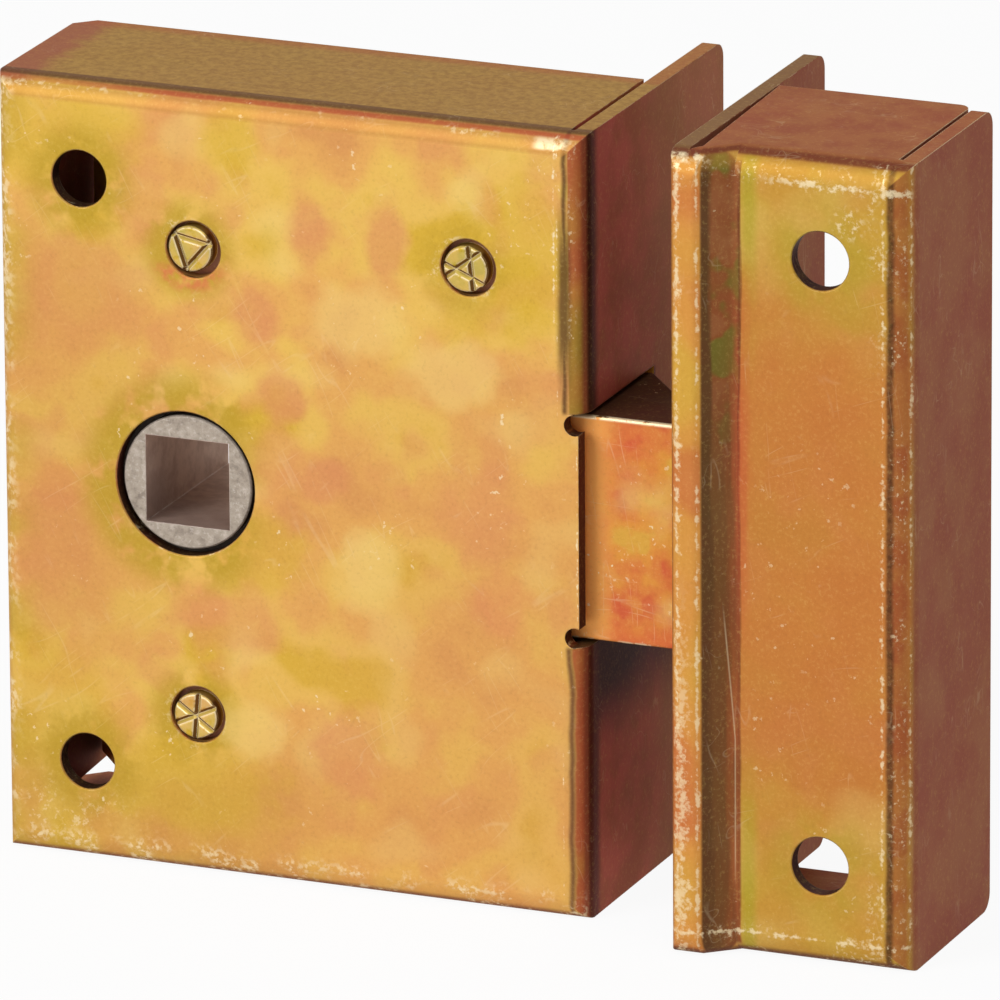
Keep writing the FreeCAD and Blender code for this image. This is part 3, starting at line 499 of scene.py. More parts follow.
def case_material():
    paint, colour = plating("case plating", CASE_PALETTE)
    sheet = case_sheet(paint)
    front = paint.both(paint.step(paint.toward_y, -0.4, -0.66), sheet)
    colour = case_front(paint, colour, front)
    # each flap has its own tone, partly the plating's own and partly painted shade, as the top, underside,
    # outer left face and forend are darkened by the way they face
    top = paint.step(paint.toward_z, 0.5, 0.9)
    top_tone_and_shade = paint.ramp(
        paint.noise(1.3, 4.0, 0.7, 121.0), [(0.35, shade(150, 114, 58)), (0.65, shade(174, 138, 72))]
    )
    colour = paint.tint(colour, paint.both(top, paint.step(paint.toward_z, 0.8, 0.96)), 0.95, top_tone_and_shade)
    ragged = paint.math("ADD", paint.x, paint.both(paint.noise(0.4, 3.0, 0.6, 125.0), 5.0))
    colour = paint.tint(colour, paint.both(top, paint.step(ragged, 7.5, 4.5)), 0.75, shade(156, 84, 68))
    colour = paint.tint(colour, paint.both(top, paint.step(paint.y, 16.8, 18.4)), 0.5, RUST)
    under = paint.step(paint.toward_z, -0.5, -0.9)
    colour = paint.tint(colour, under, 0.75, shade(136, 92, 50))
    outer_left = paint.step(paint.toward_x, -0.5, -0.9)
    colour = paint.tint(colour, outer_left, 0.55, shade(176, 130, 60))
    side = paint.step(paint.toward_x, 0.5, 0.9)
    forend_tone_and_shade = paint.ramp(
        paint.noise(0.16, 3.0, 0.6, 113.0), [(0.36, MAROON), (0.64, shade(156, 80, 60))]
    )
    wander = paint.wander(0.1, 117.0, 16.0)
    rear = paint.step(paint.math("ADD", paint.y, wander), 9.0, 22.0)
    forend_tone_and_shade = paint.tint(forend_tone_and_shade, rear, 0.65, shade(142, 98, 64))
    colour = paint.tint(colour, side, 0.95, forend_tone_and_shade)
    # a painted shadow of the bolt on the forend below it
    bolt_shadow_height = paint.math("ADD", paint.z, paint.both(wander, 0.3))
    below = paint.both(
        paint.step(bolt_shadow_height, 14.0, 22.0), paint.step(bolt_shadow_height, 38.0, 27.0), paint.step(paint.y, 30.0, 18.0)
    )
    colour = paint.tint(colour, paint.both(below, side), 0.97, PAINTED_SHADE)
    back = paint.step(paint.toward_y, 0.6, 0.9)
    colour = paint.tint(colour, back, 0.4, OLIVE)
    # bends
    beside = paint.opposite(paint.band(paint.z, OPENING_LOW, OPENING_HIGH, 0.3))
    colour = case_side_bend(paint, colour, beside)
    raised = paint.toward_z
    along = paint.math("ADD", paint.both(paint.step(paint.x, 2.0, 16.0), 0.5), 0.5)
    # painted shade that damps the key lamp's highlight on the top bend
    top_bend_shade = paint.both(paint.band(raised, 0.12, 0.75, 0.1), sheet)
    colour = paint.tint(colour, top_bend_shade, 0.6, shade(166, 116, 56))
    red = paint.patches(paint.band(raised, 0.76, 0.92, 0.05), 0.5, 0.2, 0.4, 131.0)
    colour = paint.tint(colour, paint.both(red, along, sheet), 0.85, shade(176, 82, 54))
    dark = paint.both(paint.step(raised, 0.9, 0.97), paint.step(paint.y, 2.7, 2.3))
    colour = paint.tint(colour, dark, 0.8, BROWN)
    low_line = paint.step(raised, -0.55, -0.85)
    colour = paint.tint(colour, paint.both(low_line, sheet), 0.75, shade(120, 66, 46))
    # cut faces round the opening, painted dark as shade
    shaded_cut_face = paint.both(
        paint.opposite(beside),
        paint.either(side, top, under),
        paint.step(paint.x, CASE.x - 4.5, CASE.x - 4.0),
        paint.step(paint.y, 17.0, 16.2),
    )
    colour = paint.tint(colour, shaded_cut_face, 0.92, shade(58, 32, 28))
    # painted shade inside the fixing holes and the hub's hole; the stakes' holes get a gold tone
    fixing = MOUNTS["case_fixing"]
    colour = dark_holes(paint, colour, fixing_places(fixing), fixing["dims"]["hole_r_mm"], 0.1)
    hub = centre("follower")
    colour = dark_holes(paint, colour, [(hub.x, hub.z)], HUB_HOLE_RADIUS, 0.1)
    pillars = [centre(node) for node in PILLARS]
    stakes = [(place.x, place.z) for place in pillars]
    colour = dark_holes(paint, colour, stakes, STAKE_HOLE_REACH, 0.35, shade(176, 126, 70))
    # rubbed through
    pin_rims = []
    for place in pillars:
        pin_rims.append(paint.both(paint.around(place.x, place.z, 2.9, 3.2), front))
    colour, grain = grained(paint, colour, 0.0)
    cut = paint.patches(paint.edges(), 0.9, 0.42, 0.56, 43.0)
    scratch = paint.crossed((0.5, 0.5, 11.0), (-0.9, 0.45, 23.0), 0.14)
    roughness = paint.math("ADD", 0.48, paint.both(grain, 0.1))
    wear = paint.either(
        *case_rubs(paint, front, beside),
        paint.chips(paint.either(*pin_rims), 161.0, 0.5, 0.64, 2.4, 0.45),
        paint.both(cut, 0.5),
        paint.both(nicks(paint, 191.0), front, 0.7),
        scratch,
    )
    colour, roughness = worn(paint, colour, roughness, wear)
    paint.raise_by(scratch, -0.02)
    return paint.finish(colour, roughness)


KEEPER_PALETTE = [
    (0.36, shade(186, 154, 60)),
    (0.47, shade(200, 156, 70)),
    (0.56, shade(200, 142, 68)),
    (0.66, shade(192, 126, 64)),
]


def keeper_face(paint, colour, front):
    """Gold at both ends of the face, orange brown over its middle, yellow green at its left."""
    face = paint.both(front, paint.step(paint.x, KEEPER_LEFT + 5.4, KEEPER_LEFT + 5.9))
    wander = paint.wander(0.12, 61.0, 16.0)
    height = paint.math("ADD", paint.z, wander)
    middle = paint.both(paint.step(height, 6.0, 22.0), paint.step(height, 68.0, 52.0), face)
    colour = paint.tint(colour, middle, 0.8, shade(192, 118, 58))
    ends = paint.both(paint.opposite(middle), face)
    colour = paint.tint(colour, ends, 0.55, shade(188, 148, 52))
    across = paint.math("ADD", paint.x, paint.both(wander, 0.06))
    start = paint.band(across, KEEPER_LEFT + 5.9, KEEPER_LEFT + 7.2, 0.5)
    colour = paint.tint(colour, paint.both(start, ends), 0.6, shade(164, 156, 42))
    for x, z in fixing_places(MOUNTS["keeper_fixing"]):
        halo = paint.patches(paint.both(paint.around(x, z, 3.0, 6.5), front), 0.2, 0.3, 0.6, 77.0)
        colour = paint.tint(colour, halo, 0.6, shade(176, 150, 50))
    return colour


def keeper_lip(paint, colour, front):
    """The lip is gold to olive, the ramp beside it dark on the left, olive, then red brown; the ramp's
    darkness is partly painted shade, as it faces away from the light, and the crease where it meets the
    face is painted shade.
    """
    raised = paint.step(paint.y, KEEPER_FACE + 0.5, KEEPER_FACE + 0.2)
    lip = paint.both(front, paint.step(paint.x, KEEPER_LEFT + 3.2, KEEPER_LEFT + 2.8))
    tone = paint.ramp(
        paint.noise(0.1, 1.0, 0.4, 83.0),
        [(0.38, shade(208, 162, 66)), (0.52, shade(212, 146, 70)), (0.64, shade(200, 114, 64))],
    )
    colour = paint.tint(colour, lip, 0.85, tone)
    streaks = paint.noise(0.5, 2.0, 0.5, 87.0, None, (2.4, 1.0, 0.16))
    across = paint.math("ADD", paint.x, paint.both(paint.math("SUBTRACT", streaks, 0.5), 1.2))
    # the ramp's tones: partly the film's, partly painted shade, as the ramp faces away from the light
    ramp = paint.both(
        paint.band(paint.x, KEEPER_LEFT + 2.95, KEEPER_LEFT + 5.8, 0.12),
        paint.step(paint.toward_y, -0.3, -0.5),
        raised,
    )
    upper = paint.step(paint.z, 40.0, 58.0)
    mottled = paint.ramp(
        paint.noise(0.28, 2.0, 0.5, 89.0),
        [(0.4, shade(146, 88, 58)), (0.5, shade(138, 76, 48)), (0.6, shade(104, 104, 44))],
    )
    olive = paint.mix(upper, shade(108, 70, 44), mottled)
    red = paint.ramp(streaks, [(0.4, shade(130, 68, 44)), (0.6, shade(156, 84, 50))])
    tone = paint.mix(paint.step(across, KEEPER_LEFT + 3.4, KEEPER_LEFT + 4.0), shade(84, 54, 38), olive)
    reddened = paint.step(across, KEEPER_LEFT + 4.1, KEEPER_LEFT + 5.6)
    reddened = paint.both(reddened, paint.step(upper, 1.5, 0.0))
    tone = paint.mix(reddened, tone, red)
    colour = paint.tint(colour, ramp, 0.92, tone)
    streak = paint.both(paint.band(across, KEEPER_LEFT + 5.5, KEEPER_LEFT + 6.4, 0.7), front)
    streak = paint.both(streak, paint.band(paint.z, 32.0, 58.0, 8.0))
    colour = paint.tint(colour, streak, 0.6, shade(194, 82, 56))
    # painted shade in the crease where the ramp meets the face
    crease_shade = paint.both(paint.band(across, KEEPER_LEFT + 5.6, KEEPER_LEFT + 5.8, 0.14), raised, front)
    crease_shade = paint.both(crease_shade, paint.math("ADD", paint.both(upper, 0.4), 0.35))
    return paint.tint(colour, crease_shade, 1.0, shade(92, 46, 34))


def keeper_rubs_and_highlights(paint, front):
    """Where the keeper's film is rubbed through, with painted highlights along the lip's left bend and top,
    the face's top bend and the wall's top edge.
    """
    lip = paint.both(paint.step(paint.y, KEEPER_LIP + 1.4, KEEPER_LIP + 1.0), front)
    face = paint.both(paint.step(paint.x, KEEPER_LEFT + 7.0, KEEPER_LEFT + 8.5), front)
    bend = paint.step(paint.x, KEEPER_RIGHT - 2.6, KEEPER_RIGHT - 2.2)
    slope = paint.math("ADD", paint.z, paint.both(paint.math("SUBTRACT", paint.x, KEEPER_LEFT), 0.02))
    stronger = paint.step(paint.x, KEEPER_LEFT + 6.0, KEEPER_LEFT + 12.0)
    low = paint.step(paint.z, 38.0, 16.0)
    ends = paint.either(paint.step(paint.z, 52.0, 64.0), paint.step(paint.z, 14.0, 6.0))
    wall_top_highlight = paint.both(paint.step(paint.z, KEEPER_TOP - 0.5, KEEPER_TOP - 0.3), paint.edges(), bend)
    hole_x, hole_z = fixing_places(MOUNTS["keeper_fixing"])[1]
    beside_hole = paint.both(paint.around(hole_x + 2.6, hole_z + 3.6, 0.6, 2.0), front)
    # one long scratch down the ramp, which leans from a height of 20 on
    lean = paint.both(paint.math("MINIMUM", paint.math("SUBTRACT", 20.0, paint.z), 0.0), -0.07)
    scratch = paint.band(paint.math("ADD", paint.x, lean), KEEPER_LEFT + 5.3, KEEPER_LEFT + 5.36, 0.07)
    scratch = paint.both(scratch, paint.band(paint.z, 8.0, 31.0, 2.0))
    top_band = paint.band(paint.z, KEEPER_TOP - 3.0, KEEPER_TOP - 1.0, 0.5)
    right_band = paint.band(paint.x, KEEPER_RIGHT - 3.8, KEEPER_RIGHT - 2.2, 0.4)
    lip_top_highlight = paint.step(paint.z, KEEPER_TOP - 1.2, KEEPER_TOP - 0.8)
    wall_start = paint.step(paint.y, 2.0, 1.0)
    return [
        # a painted highlight along the lip's left bend, broken up like wear
        paint.both(paint.worn_line(paint.x, KEEPER_LEFT + 0.8, 0.9, 0.95, 211.0), lip, 0.8),
        paint.both(paint.worn_line(paint.x, KEEPER_LEFT + 1.2, 1.8, 0.95, 217.0), lip, low, 0.65),
        paint.both(paint.worn_line(paint.x, KEEPER_LEFT + 2.65, 0.45, 0.8, 217.0), lip, 0.7),
        # a painted highlight along the face's top bend, broken up like wear
        paint.both(paint.worn_line(slope, KEEPER_TOP - 2.2, 0.9, 1.2, 211.0), face, stronger, 0.85),
        paint.chips(paint.both(top_band, front), 221.0),
        paint.both(paint.worn_line(paint.z, 2.4, 0.8, 0.95, 211.0), front, 0.8),
        paint.chips(paint.both(paint.step(paint.z, 3.6, 2.0), front), 221.0),
        paint.chips(paint.both(right_band, face, ends), 221.0, 0.5, 0.64),
        paint.both(paint.worn_line(paint.x, KEEPER_RIGHT - 2.5, 0.55, 0.8, 217.0), face, 0.75),
        paint.both(paint.worn_line(paint.toward_x, 0.87, 0.1, 0.6, 211.0), bend, wall_start, 0.7),
        paint.chips(paint.both(paint.band(paint.toward_x, 0.3, 0.8, 0.1), bend), 221.0, 0.56, 0.68),
        # painted highlights along the wall's top edge and the lip's top
        paint.patches(wall_top_highlight, 1.2, 0.26, 0.4, 231.0),
        paint.patches(paint.both(lip, lip_top_highlight), 0.9, 0.46, 0.62, 233.0),
        paint.both(beside_hole, paint.step(paint.field(1.7, 4.0, 211.0), 0.5, 0.62), 0.7),
        paint.both(scratch, front, 0.6),
    ]


def keeper_material():
    paint, colour = plating("keeper plating", KEEPER_PALETTE, 0.09, 140.0)
    front = paint.step(paint.toward_y, -0.35, -0.6)
    colour = keeper_face(paint, colour, front)
    colour = keeper_lip(paint, colour, front)
    # flaps and walls, each toned partly by the plating and partly by painted shade, darker than the front
    # by the way they face
    turned = paint.toward_x
    wall = paint.step(turned, 0.8, 0.98)
    wall_tone_and_shade = paint.ramp(
        paint.noise(0.14, 3.0, 0.6, 97.0), [(0.36, shade(140, 72, 58)), (0.64, shade(148, 90, 66))]
    )
    colour = paint.tint(colour, wall, 0.95, wall_tone_and_shade)
    top = paint.step(paint.toward_z, 0.6, 0.92)
    top_tone_and_shade = paint.ramp(
        paint.noise(0.3, 3.0, 0.6, 101.0), [(0.35, shade(146, 74, 48)), (0.65, shade(160, 96, 58))]
    )
    colour = paint.tint(colour, top, 0.92, top_tone_and_shade)
    plate_edge = paint.both(top, paint.step(paint.x, KEEPER_LEFT + 1.6, KEEPER_LEFT + 1.4))
    colour = paint.tint(colour, plate_edge, 0.8, shade(124, 100, 62))
    under = paint.step(paint.toward_z, -0.5, -0.9)
    colour = paint.tint(colour, under, 0.7, shade(132, 84, 50))
    plate = paint.step(turned, -0.6, -0.95)
    colour = paint.tint(colour, plate, 0.75, shade(138, 84, 50))
    # right bend: gold brown, then red, behind a dark first line
    bend = paint.step(paint.x, KEEPER_RIGHT - 2.6, KEEPER_RIGHT - 2.2)
    ridge_tone = paint.ramp(
        paint.noise(0.3, 2.0, 0.5, 107.0), [(0.4, shade(162, 86, 52)), (0.6, shade(174, 108, 58))]
    )
    colour = paint.tint(colour, paint.both(paint.band(turned, 0.3, 0.84, 0.1), bend), 0.85, ridge_tone)
    across = paint.math("ADD", paint.x, paint.wander(0.3, 109.0, 0.4))
    crease = paint.both(paint.band(across, KEEPER_RIGHT - 2.15, KEEPER_RIGHT - 1.55, 0.2), front)
    dotted = paint.step(paint.field(1.7, 4.0, 211.0), 0.36, 0.6)
    crease_tone = paint.mix(dotted, shade(66, 40, 30), shade(106, 66, 42))
    colour = paint.tint(colour, crease, 0.85, crease_tone)
    # top and bottom bends
    raised = paint.toward_z
    # painted shade that damps the lamp's highlight on the top bend
    colour = paint.tint(colour, paint.band(raised, 0.25, 0.75, 0.15), 0.4, shade(164, 122, 50))
    red = paint.patches(paint.band(raised, 0.76, 0.96, 0.05), 0.5, 0.2, 0.4, 110.0)
    colour = paint.tint(colour, red, 0.85, shade(110, 54, 40))
    low_line = paint.step(raised, -0.5, -0.8)
    low_line = paint.both(low_line, paint.step(paint.y, KEEPER_FACE + 2.8, KEEPER_FACE + 2.2))
    colour = paint.tint(colour, low_line, 0.85, shade(90, 50, 36))
    # painted shade inside the keeper's fixing holes
    fixing = MOUNTS["keeper_fixing"]
    start = KEEPER_FACE + 0.1
    colour = dark_holes(paint, colour, fixing_places(fixing), fixing["dims"]["hole_r_mm"], start)
    colour, grain = grained(paint, colour, 140.0)
    cut = paint.patches(paint.edges(), 0.9, 0.4, 0.54, 143.0)
    scratch = paint.crossed((0.2, 0.5, 111.0), (-1.2, 0.45, 123.0), 0.14)
    roughness = paint.math("ADD", 0.48, paint.both(grain, 0.1))
    # wear, and painted highlights on the keeper's bends
    wear = paint.either(
        *keeper_rubs_and_highlights(paint, front),
        paint.both(cut, 0.5),
        paint.both(nicks(paint, 131.0), front, 0.4),
        scratch,
    )
    colour, roughness = worn(paint, colour, roughness, wear)
    paint.raise_by(scratch, -0.02)
    return paint.finish(colour, roughness)


def cover_material():
    paint, colour = plating("cover plating", CASE_PALETTE, 0.07, 260.0)
    rims = [paint.around(x, z, 3.2, 7.0) for x, z in fixing_places(MOUNTS["case_fixing"])]
    hub = centre("follower")
    rims.append(paint.around(hub.x, hub.z, 6.5, 11.0))
    colour = paint.tint(colour, paint.patches(paint.either(*rims), 0.2, 0.3, 0.58, 271.0), 0.6, LIME)
    colour, grain = grained(paint, colour, 260.0)
    cut = paint.patches(paint.edges(), 0.6, 0.35, 0.6, 243.0)
    scratch = paint.crossed((0.8, 0.5, 211.0), (-0.4, 0.4, 223.0), 0.25)
    roughness = paint.math("ADD", 0.44, paint.both(grain, 0.1))
    wear = paint.either(paint.both(cut, 0.6), nicks(paint, 281.0), scratch)
    colour, roughness = worn(paint, colour, roughness, wear)
    paint.raise_by(scratch, -0.02)
    return paint.finish(colour, roughness)


def latch_material():
    palette = [
        (0.38, shade(210, 100, 64)),
        (0.48, shade(218, 132, 68)),
        (0.58, shade(222, 150, 68)),
        (0.66, shade(218, 166, 72)),
    ]
    paint, colour = plating("latch plating", palette, 0.2, 380.0)
    latch_low, latch_high = [corner * 1000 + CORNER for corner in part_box("latch_bolt")]
    front = paint.step(paint.toward_y, -0.6, -0.9)
    # redder along the top and at the foot, yellower towards the keeper
    corner = paint.both(paint.step(paint.x, 64.0, 57.0), paint.step(paint.z, 38.0, 45.0), front)
    foot = paint.both(paint.step(paint.z, 28.5, 26.0), front)
    colour = paint.tint(colour, paint.either(corner, foot), 0.55, shade(216, 98, 64))
    # painted light on the bolt's left end, which the case shades
    left = paint.both(paint.step(paint.x, 58.5, 56.0), front)
    colour = paint.tint(colour, left, 0.9, shade(255, 176, 94))
    gold = paint.both(paint.step(paint.x, 59.5, 64.5), paint.band(paint.z, 30.0, 43.0, 3.0), front)
    colour = paint.tint(colour, paint.patches(gold, 0.2, 0.36, 0.6, 391.0), 0.6, shade(218, 160, 60))
    # painted shade on the bolt's top face, under the forend, and on its underside
    top = paint.step(paint.toward_z, 0.5, 0.9)
    colour = paint.tint(colour, top, 0.94, shade(60, 36, 33))
    under = paint.step(paint.toward_z, -0.5, -0.9)
    colour = paint.tint(colour, under, 0.8, shade(92, 56, 40))
    bevel = paint.step(paint.toward_y, 0.3, 0.6)
    colour = paint.tint(colour, bevel, 0.5, shade(206, 156, 80))
    colour, grain = grained(paint, colour, 380.0)
    face = latch_low.y
    upper_rim = paint.along_x(face, latch_high.z, 0.2, 0.42)
    lower_rim = paint.along_x(face, latch_low.z, 0.12, 0.3)
    rims = paint.either(
        paint.patches(upper_rim, 0.9, 0.32, 0.44, 331.0), paint.patches(lower_rim, 0.9, 0.46, 0.56, 333.0)
    )
    cut = paint.patches(paint.edges(), 0.6, 0.5, 0.62, 343.0)
    scratch = paint.crossed((1.5, 0.6, 311.0), (0.1, 0.5, 323.0), 0.25)
    roughness = paint.math("ADD", 0.42, paint.both(grain, 0.1))
    dots = paint.both(paint.chips(front, 353.0, 0.66, 0.7, 1.7), 0.9)
    wear = paint.either(rims, paint.both(cut, 0.4), nicks(paint, 351.0), dots, scratch)
    colour, roughness = worn(paint, colour, roughness, wear)
    paint.raise_by(scratch, -0.02)
    return paint.finish(colour, roughness)


def stake_material():
    """Bright yellow ends with deep chisel marks, one wall of each lit and the other dark."""
    palette = [(0.36, shade(182, 158, 44)), (0.5, shade(202, 166, 56)), (0.64, shade(212, 170, 76))]
    paint, colour = plating("stake plating", palette, 0.3, 470.0)
    heads = []
    for node in PILLARS:
        place = centre(node)
        heads.append(paint.around(place.x, place.z, 2.06, 2.2))
    head = paint.either(*heads)
    beside = paint.both(
        paint.opposite(head), paint.step(paint.y, 0.5, 0.7), paint.step(paint.y, 1.8, 1.6)
    )
    colour = paint.tint(colour, beside, 0.9, PLUM)
    colour, grain = grained(paint, colour, 470.0)
    sunk = paint.both(head, paint.step(paint.y, 0.24, 0.34), paint.step(paint.y, 1.2, 1.0))
    lean = paint.step(paint.math("SUBTRACT", paint.toward_z, paint.toward_x), -0.15, 0.15)
    colour = paint.tint(colour, paint.both(sunk, paint.opposite(lean)), 0.9, shade(92, 58, 36))
    colour = paint.tint(colour, paint.both(sunk, lean), 0.6, shade(214, 190, 104))
    rim = paint.both(head, paint.band(paint.y, 0.215, 0.3, 0.03))
    worn_rim = paint.patches(paint.either(paint.edges(0.02, 0.16), rim), 1.2, 0.3, 0.46, 443.0)
    roughness = paint.math("ADD", 0.36, paint.both(grain, 0.12))
    colour, roughness = worn(paint, colour, roughness, worn_rim, 0.9)
    return paint.finish(colour, roughness)


def hub_material():
    """Grey cast iron, rubbed on its face, with painted shade on the square's walls near the front and on
    the rim below the face.
    """
    paint = Paint("hub casting", 0.5)
    middle = centre("follower")
    mottled = paint.noise(1.1, 4.0, 0.65, 510.0)
    colour = paint.ramp(
        mottled,
        [(0.3, shade(148, 136, 124)), (0.5, shade(172, 160, 146)), (0.7, shade(190, 178, 166))],
    )
    fine = paint.noise(3.2, 2.0, 0.6, 520.0)
    colour = paint.tint(colour, paint.step(fine, 0.56, 0.7), 0.4, shade(128, 118, 110))
    colour = paint.tint(colour, paint.step(fine, 0.44, 0.3), 0.4, shade(212, 202, 192))
    # the square's walls keep their casting skin; painted shade darkens them near the front, and the rim
    # below the face is painted dark as shade
    inside = paint.either(
        paint.math("ABSOLUTE", paint.math("SUBTRACT", paint.x, middle.x)),
        paint.math("ABSOLUTE", paint.math("SUBTRACT", paint.z, middle.z)),
    )
    skin = paint.step(inside, HALF_SQUARE + 0.06, HALF_SQUARE + 0.01)
    rust = paint.ramp(
        paint.noise(0.6, 3.0, 0.6, 530.0), [(0.35, shade(186, 162, 148)), (0.65, shade(206, 182, 166))]
    )
    # painted shade where the lamps light the square's walls near the front
    lit = paint.both(
        paint.step(paint.y, 11.0, 2.0), paint.step(paint.z, middle.z + 3.0, middle.z - 3.5)
    )
    rust = paint.tint(rust, lit, 0.75, shade(134, 112, 102))
    colour = paint.mix(skin, colour, rust)
    rim_shade = paint.both(paint.step(paint.y, 0.7, 0.9), paint.opposite(skin), paint.step(paint.y, 3.0, 2.4))
    colour = paint.tint(colour, rim_shade, 0.85, shade(48, 40, 38))
    cut = paint.patches(paint.edges(), 1.0, 0.3, 0.5, 540.0)
    colour = paint.tint(colour, cut, 0.6, shade(222, 212, 204))
    roughness = paint.math("ADD", 0.5, paint.both(mottled, 0.2))
    paint.raise_by(mottled, 0.03)
    paint.raise_by(fine, 0.015)
    return paint.finish(colour, roughness)


def steel_material(name, dark, light, shift, roughness=0.36):
    """Plain steel with a thin oil film, brushed a little and brighter on its edges."""
    paint = Paint(name, 0.85)
    cloud = paint.noise(0.35, 3.0, 0.6, shift)
    colour = paint.ramp(cloud, [(0.3, dark), (0.7, light)])
    brush = paint.noise(1.6, 3.0, 0.6, shift + 9.0, None, (0.25, 2.0, 2.0))
    colour = paint.mix(paint.both(paint.step(brush, 0.4, 0.7), 0.25), colour, shade(214, 210, 202))
    stain = paint.step(paint.noise(0.6, 3.0, 0.65, shift + 19.0), 0.6, 0.74)
    colour = paint.mix(paint.both(stain, 0.4), colour, shade(126, 92, 62))
    cut = paint.both(paint.edges(), paint.step(paint.noise(1.0, 3.0, 0.6, shift + 29.0), 0.35, 0.55))
    colour = paint.mix(paint.both(cut, 0.6), colour, shade(232, 228, 220))
    level = paint.math("ADD", roughness, paint.both(cloud, 0.14))
    paint.raise_by(brush, 0.008)
    paint.raise_by(cloud, 0.02)
    return paint.finish(colour, level)


def screw_material():
    palette = [(0.3, shade(184, 158, 84)), (0.5, shade(210, 178, 104)), (0.7, shade(222, 186, 116))]
    paint, colour = plating("screw plating", palette, 0.4, 640.0)
    colour, grain = grained(paint, colour, 640.0)
    grime = paint.both(paint.step(paint.y, CASE.y - 0.35, CASE.y - 0.6), 0.7)
    colour = paint.mix(grime, colour, shade(92, 68, 44))
    cut = paint.both(paint.edges(), paint.step(paint.noise(1.2, 3.0, 0.6, 643.0), 0.3, 0.5))
    roughness = paint.math("ADD", 0.3, paint.both(grain, 0.12))
    colour, roughness = worn(paint, colour, roughness, cut, 0.8)
    return paint.finish(colour, roughness)


def give(material, *names):
    for name in names:
        nodes[name].data.materials.clear()
        nodes[name].data.materials.append(material)


def spring_piece(material):
    """The spring's coil as a mesh of its own, attached to the case body in place of the CAD spring."""
    coil = bpy.data.objects.new("spring_coil", nodes["latch_spring"].data.copy())
    bpy.context.scene.collection.objects.link(coil)
    coil.data.materials.clear()
    coil.data.materials.append(material)
    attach(coil, "case")
    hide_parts("latch_spring")
    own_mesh(coil)


inner_steel = steel_material("inner steel", shade(112, 108, 104), shade(164, 160, 154), 710.0)
spring_steel = steel_material("spring wire", shade(84, 84, 86), shade(132, 132, 134), 760.0, 0.28)
give(case_material(), "case_shell")
give(keeper_material(), "keeper")
give(cover_material(), "back_cover")
give(latch_material(), "latch_bolt")
give(stake_material(), *PILLARS)
give(hub_material(), "follower")
give(screw_material(), "cover_screw_lower_left", "cover_screw_upper_left", "cover_screw_upper_right")
give(
    inner_steel,
    "follower_washer",
    "latch_fork",
    "latch_rivet_lower",
    "latch_rivet_upper",
    "spring_bracket",
    "bracket_rivet_lower",
    "bracket_rivet_upper",
    "spring_pin",
)
give(spring_steel, "latch_spring")
spring_piece(spring_steel)


# Camera at the photograph's angle: angles in radians, distance in metres, focal length in mm
YAW, PITCH, ROLL = 0.3937, 0.3076, -0.0064
DISTANCE = 1.3271425
AIM = Vector((48.0315 - CORNER.x, -CORNER.y, 38.1944)) / 1000
LENS = 546.594

back = Vector((math.sin(YAW) * math.cos(PITCH), -math.cos(YAW) * math.cos(PITCH), math.sin(PITCH)))
level = Vector((0, 0, 1)).cross(back).normalized()
upright = back.cross(level)
right = level * math.cos(ROLL) + upright * math.sin(ROLL)
up = upright * math.cos(ROLL) - level * math.sin(ROLL)
turn = Matrix((right, up, back)).transposed().to_4x4()

camera = bpy.data.objects.new("camera", bpy.data.cameras.new("camera"))
camera.data.sensor_width = 36.0
camera.data.lens = LENS
camera.data.clip_start, camera.data.clip_end = 0.01, 20.0
camera.matrix_world = Matrix.Translation(AIM + back * DISTANCE) @ turn
bpy.context.scene.collection.objects.link(camera)
bpy.context.scene.camera = camera


# Share of plain white in the floor as the camera sees it, and the background's strength as light
FLOOR_WHITE = 0.93
AMBIENT = 0.3
# What the lamps point at, in metres
LAMP_AIM = (0.0, 0.0, 0.035)


def seen_or_mirrored(tree):
    """1 for a ray from the camera, a reflection or a clear body, 0 for light on the object."""
    path = tree.nodes.new("ShaderNodeLightPath")
    seen = path.outputs["Is Camera Ray"]
    for name in ("Is Glossy Ray", "Is Transmission Ray"):
        larger = tree.nodes.new("ShaderNodeMath")
        larger.operation = "MAXIMUM"
        tree.links.new(seen, larger.inputs[0])
        tree.links.new(path.outputs[name], larger.inputs[1])
        seen = larger.outputs[0]
    return seen


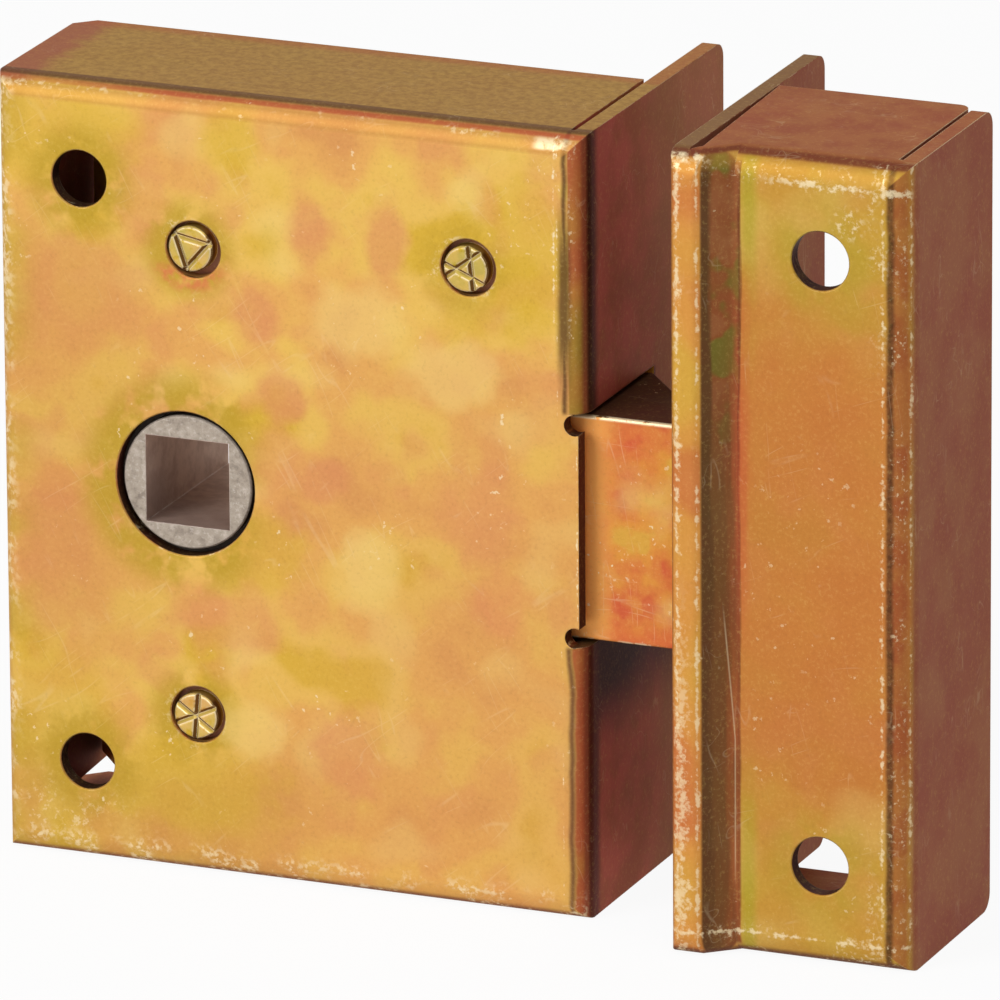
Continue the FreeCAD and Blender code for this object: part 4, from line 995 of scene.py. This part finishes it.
def floor():
    """A pale floor that fades into the white background and keeps the object's shadow."""
    mesh = bpy.data.meshes.new("floor")
    reach = 6.0
    mesh.from_pydata(
        [(-reach, -reach, 0), (reach, -reach, 0), (reach, reach, 0), (-reach, reach, 0)], [], [(0, 1, 2, 3)]
    )
    plane = bpy.data.objects.new("floor", mesh)
    bpy.context.scene.collection.objects.link(plane)
    material = bpy.data.materials.new("floor")
    material.use_nodes = True
    tree = material.node_tree
    shader = tree.nodes["Principled BSDF"]
    shader.inputs["Base Color"].default_value = (0.9, 0.9, 0.9, 1.0)
    shader.inputs["Roughness"].default_value = 0.9
    shader.inputs["Specular IOR Level"].default_value = 0.1
    white = tree.nodes.new("ShaderNodeEmission")
    share = tree.nodes.new("ShaderNodeMath")
    share.operation = "MULTIPLY"
    share.inputs[1].default_value = FLOOR_WHITE
    blend = tree.nodes.new("ShaderNodeMixShader")
    tree.links.new(seen_or_mirrored(tree), share.inputs[0])
    tree.links.new(share.outputs[0], blend.inputs[0])
    tree.links.new(shader.outputs[0], blend.inputs[1])
    tree.links.new(white.outputs[0], blend.inputs[2])
    tree.links.new(blend.outputs[0], tree.nodes["Material Output"].inputs["Surface"])
    mesh.materials.append(material)


def lamp(name, place, size, power):
    """A square soft box, its place and size in metres and its power in watts."""
    data = bpy.data.lights.new(name, "AREA")
    data.shape = "SQUARE"
    data.size = size
    data.energy = power
    made = bpy.data.objects.new(name, data)
    made.location = place
    made.rotation_mode = "QUATERNION"
    made.rotation_quaternion = (Vector(LAMP_AIM) - Vector(place)).to_track_quat("-Z", "Y")
    bpy.context.scene.collection.objects.link(made)


def surroundings(ambient):
    """Plain white where the camera or a reflection looks past the object, dimmer as light on it."""
    world = bpy.data.worlds.new("surroundings")
    bpy.context.scene.world = world
    world.use_nodes = True
    tree = world.node_tree
    plain = tree.nodes["Background"]
    plain.inputs["Color"].default_value = (1.0, 1.0, 1.0, 1.0)
    strength = tree.nodes.new("ShaderNodeMapRange")
    tree.links.new(seen_or_mirrored(tree), strength.inputs["Value"])
    strength.inputs["To Min"].default_value = ambient
    strength.inputs["To Max"].default_value = 1.0
    tree.links.new(strength.outputs[0], plain.inputs["Strength"])


bpy.context.scene.view_settings.view_transform = "Standard"
floor()
surroundings(AMBIENT)
lamp("key", (-0.75, -1.1, 0.75), 0.8, 15.0)
lamp("fill", (0.6, -0.7, 1.3), 0.7, 4.5)
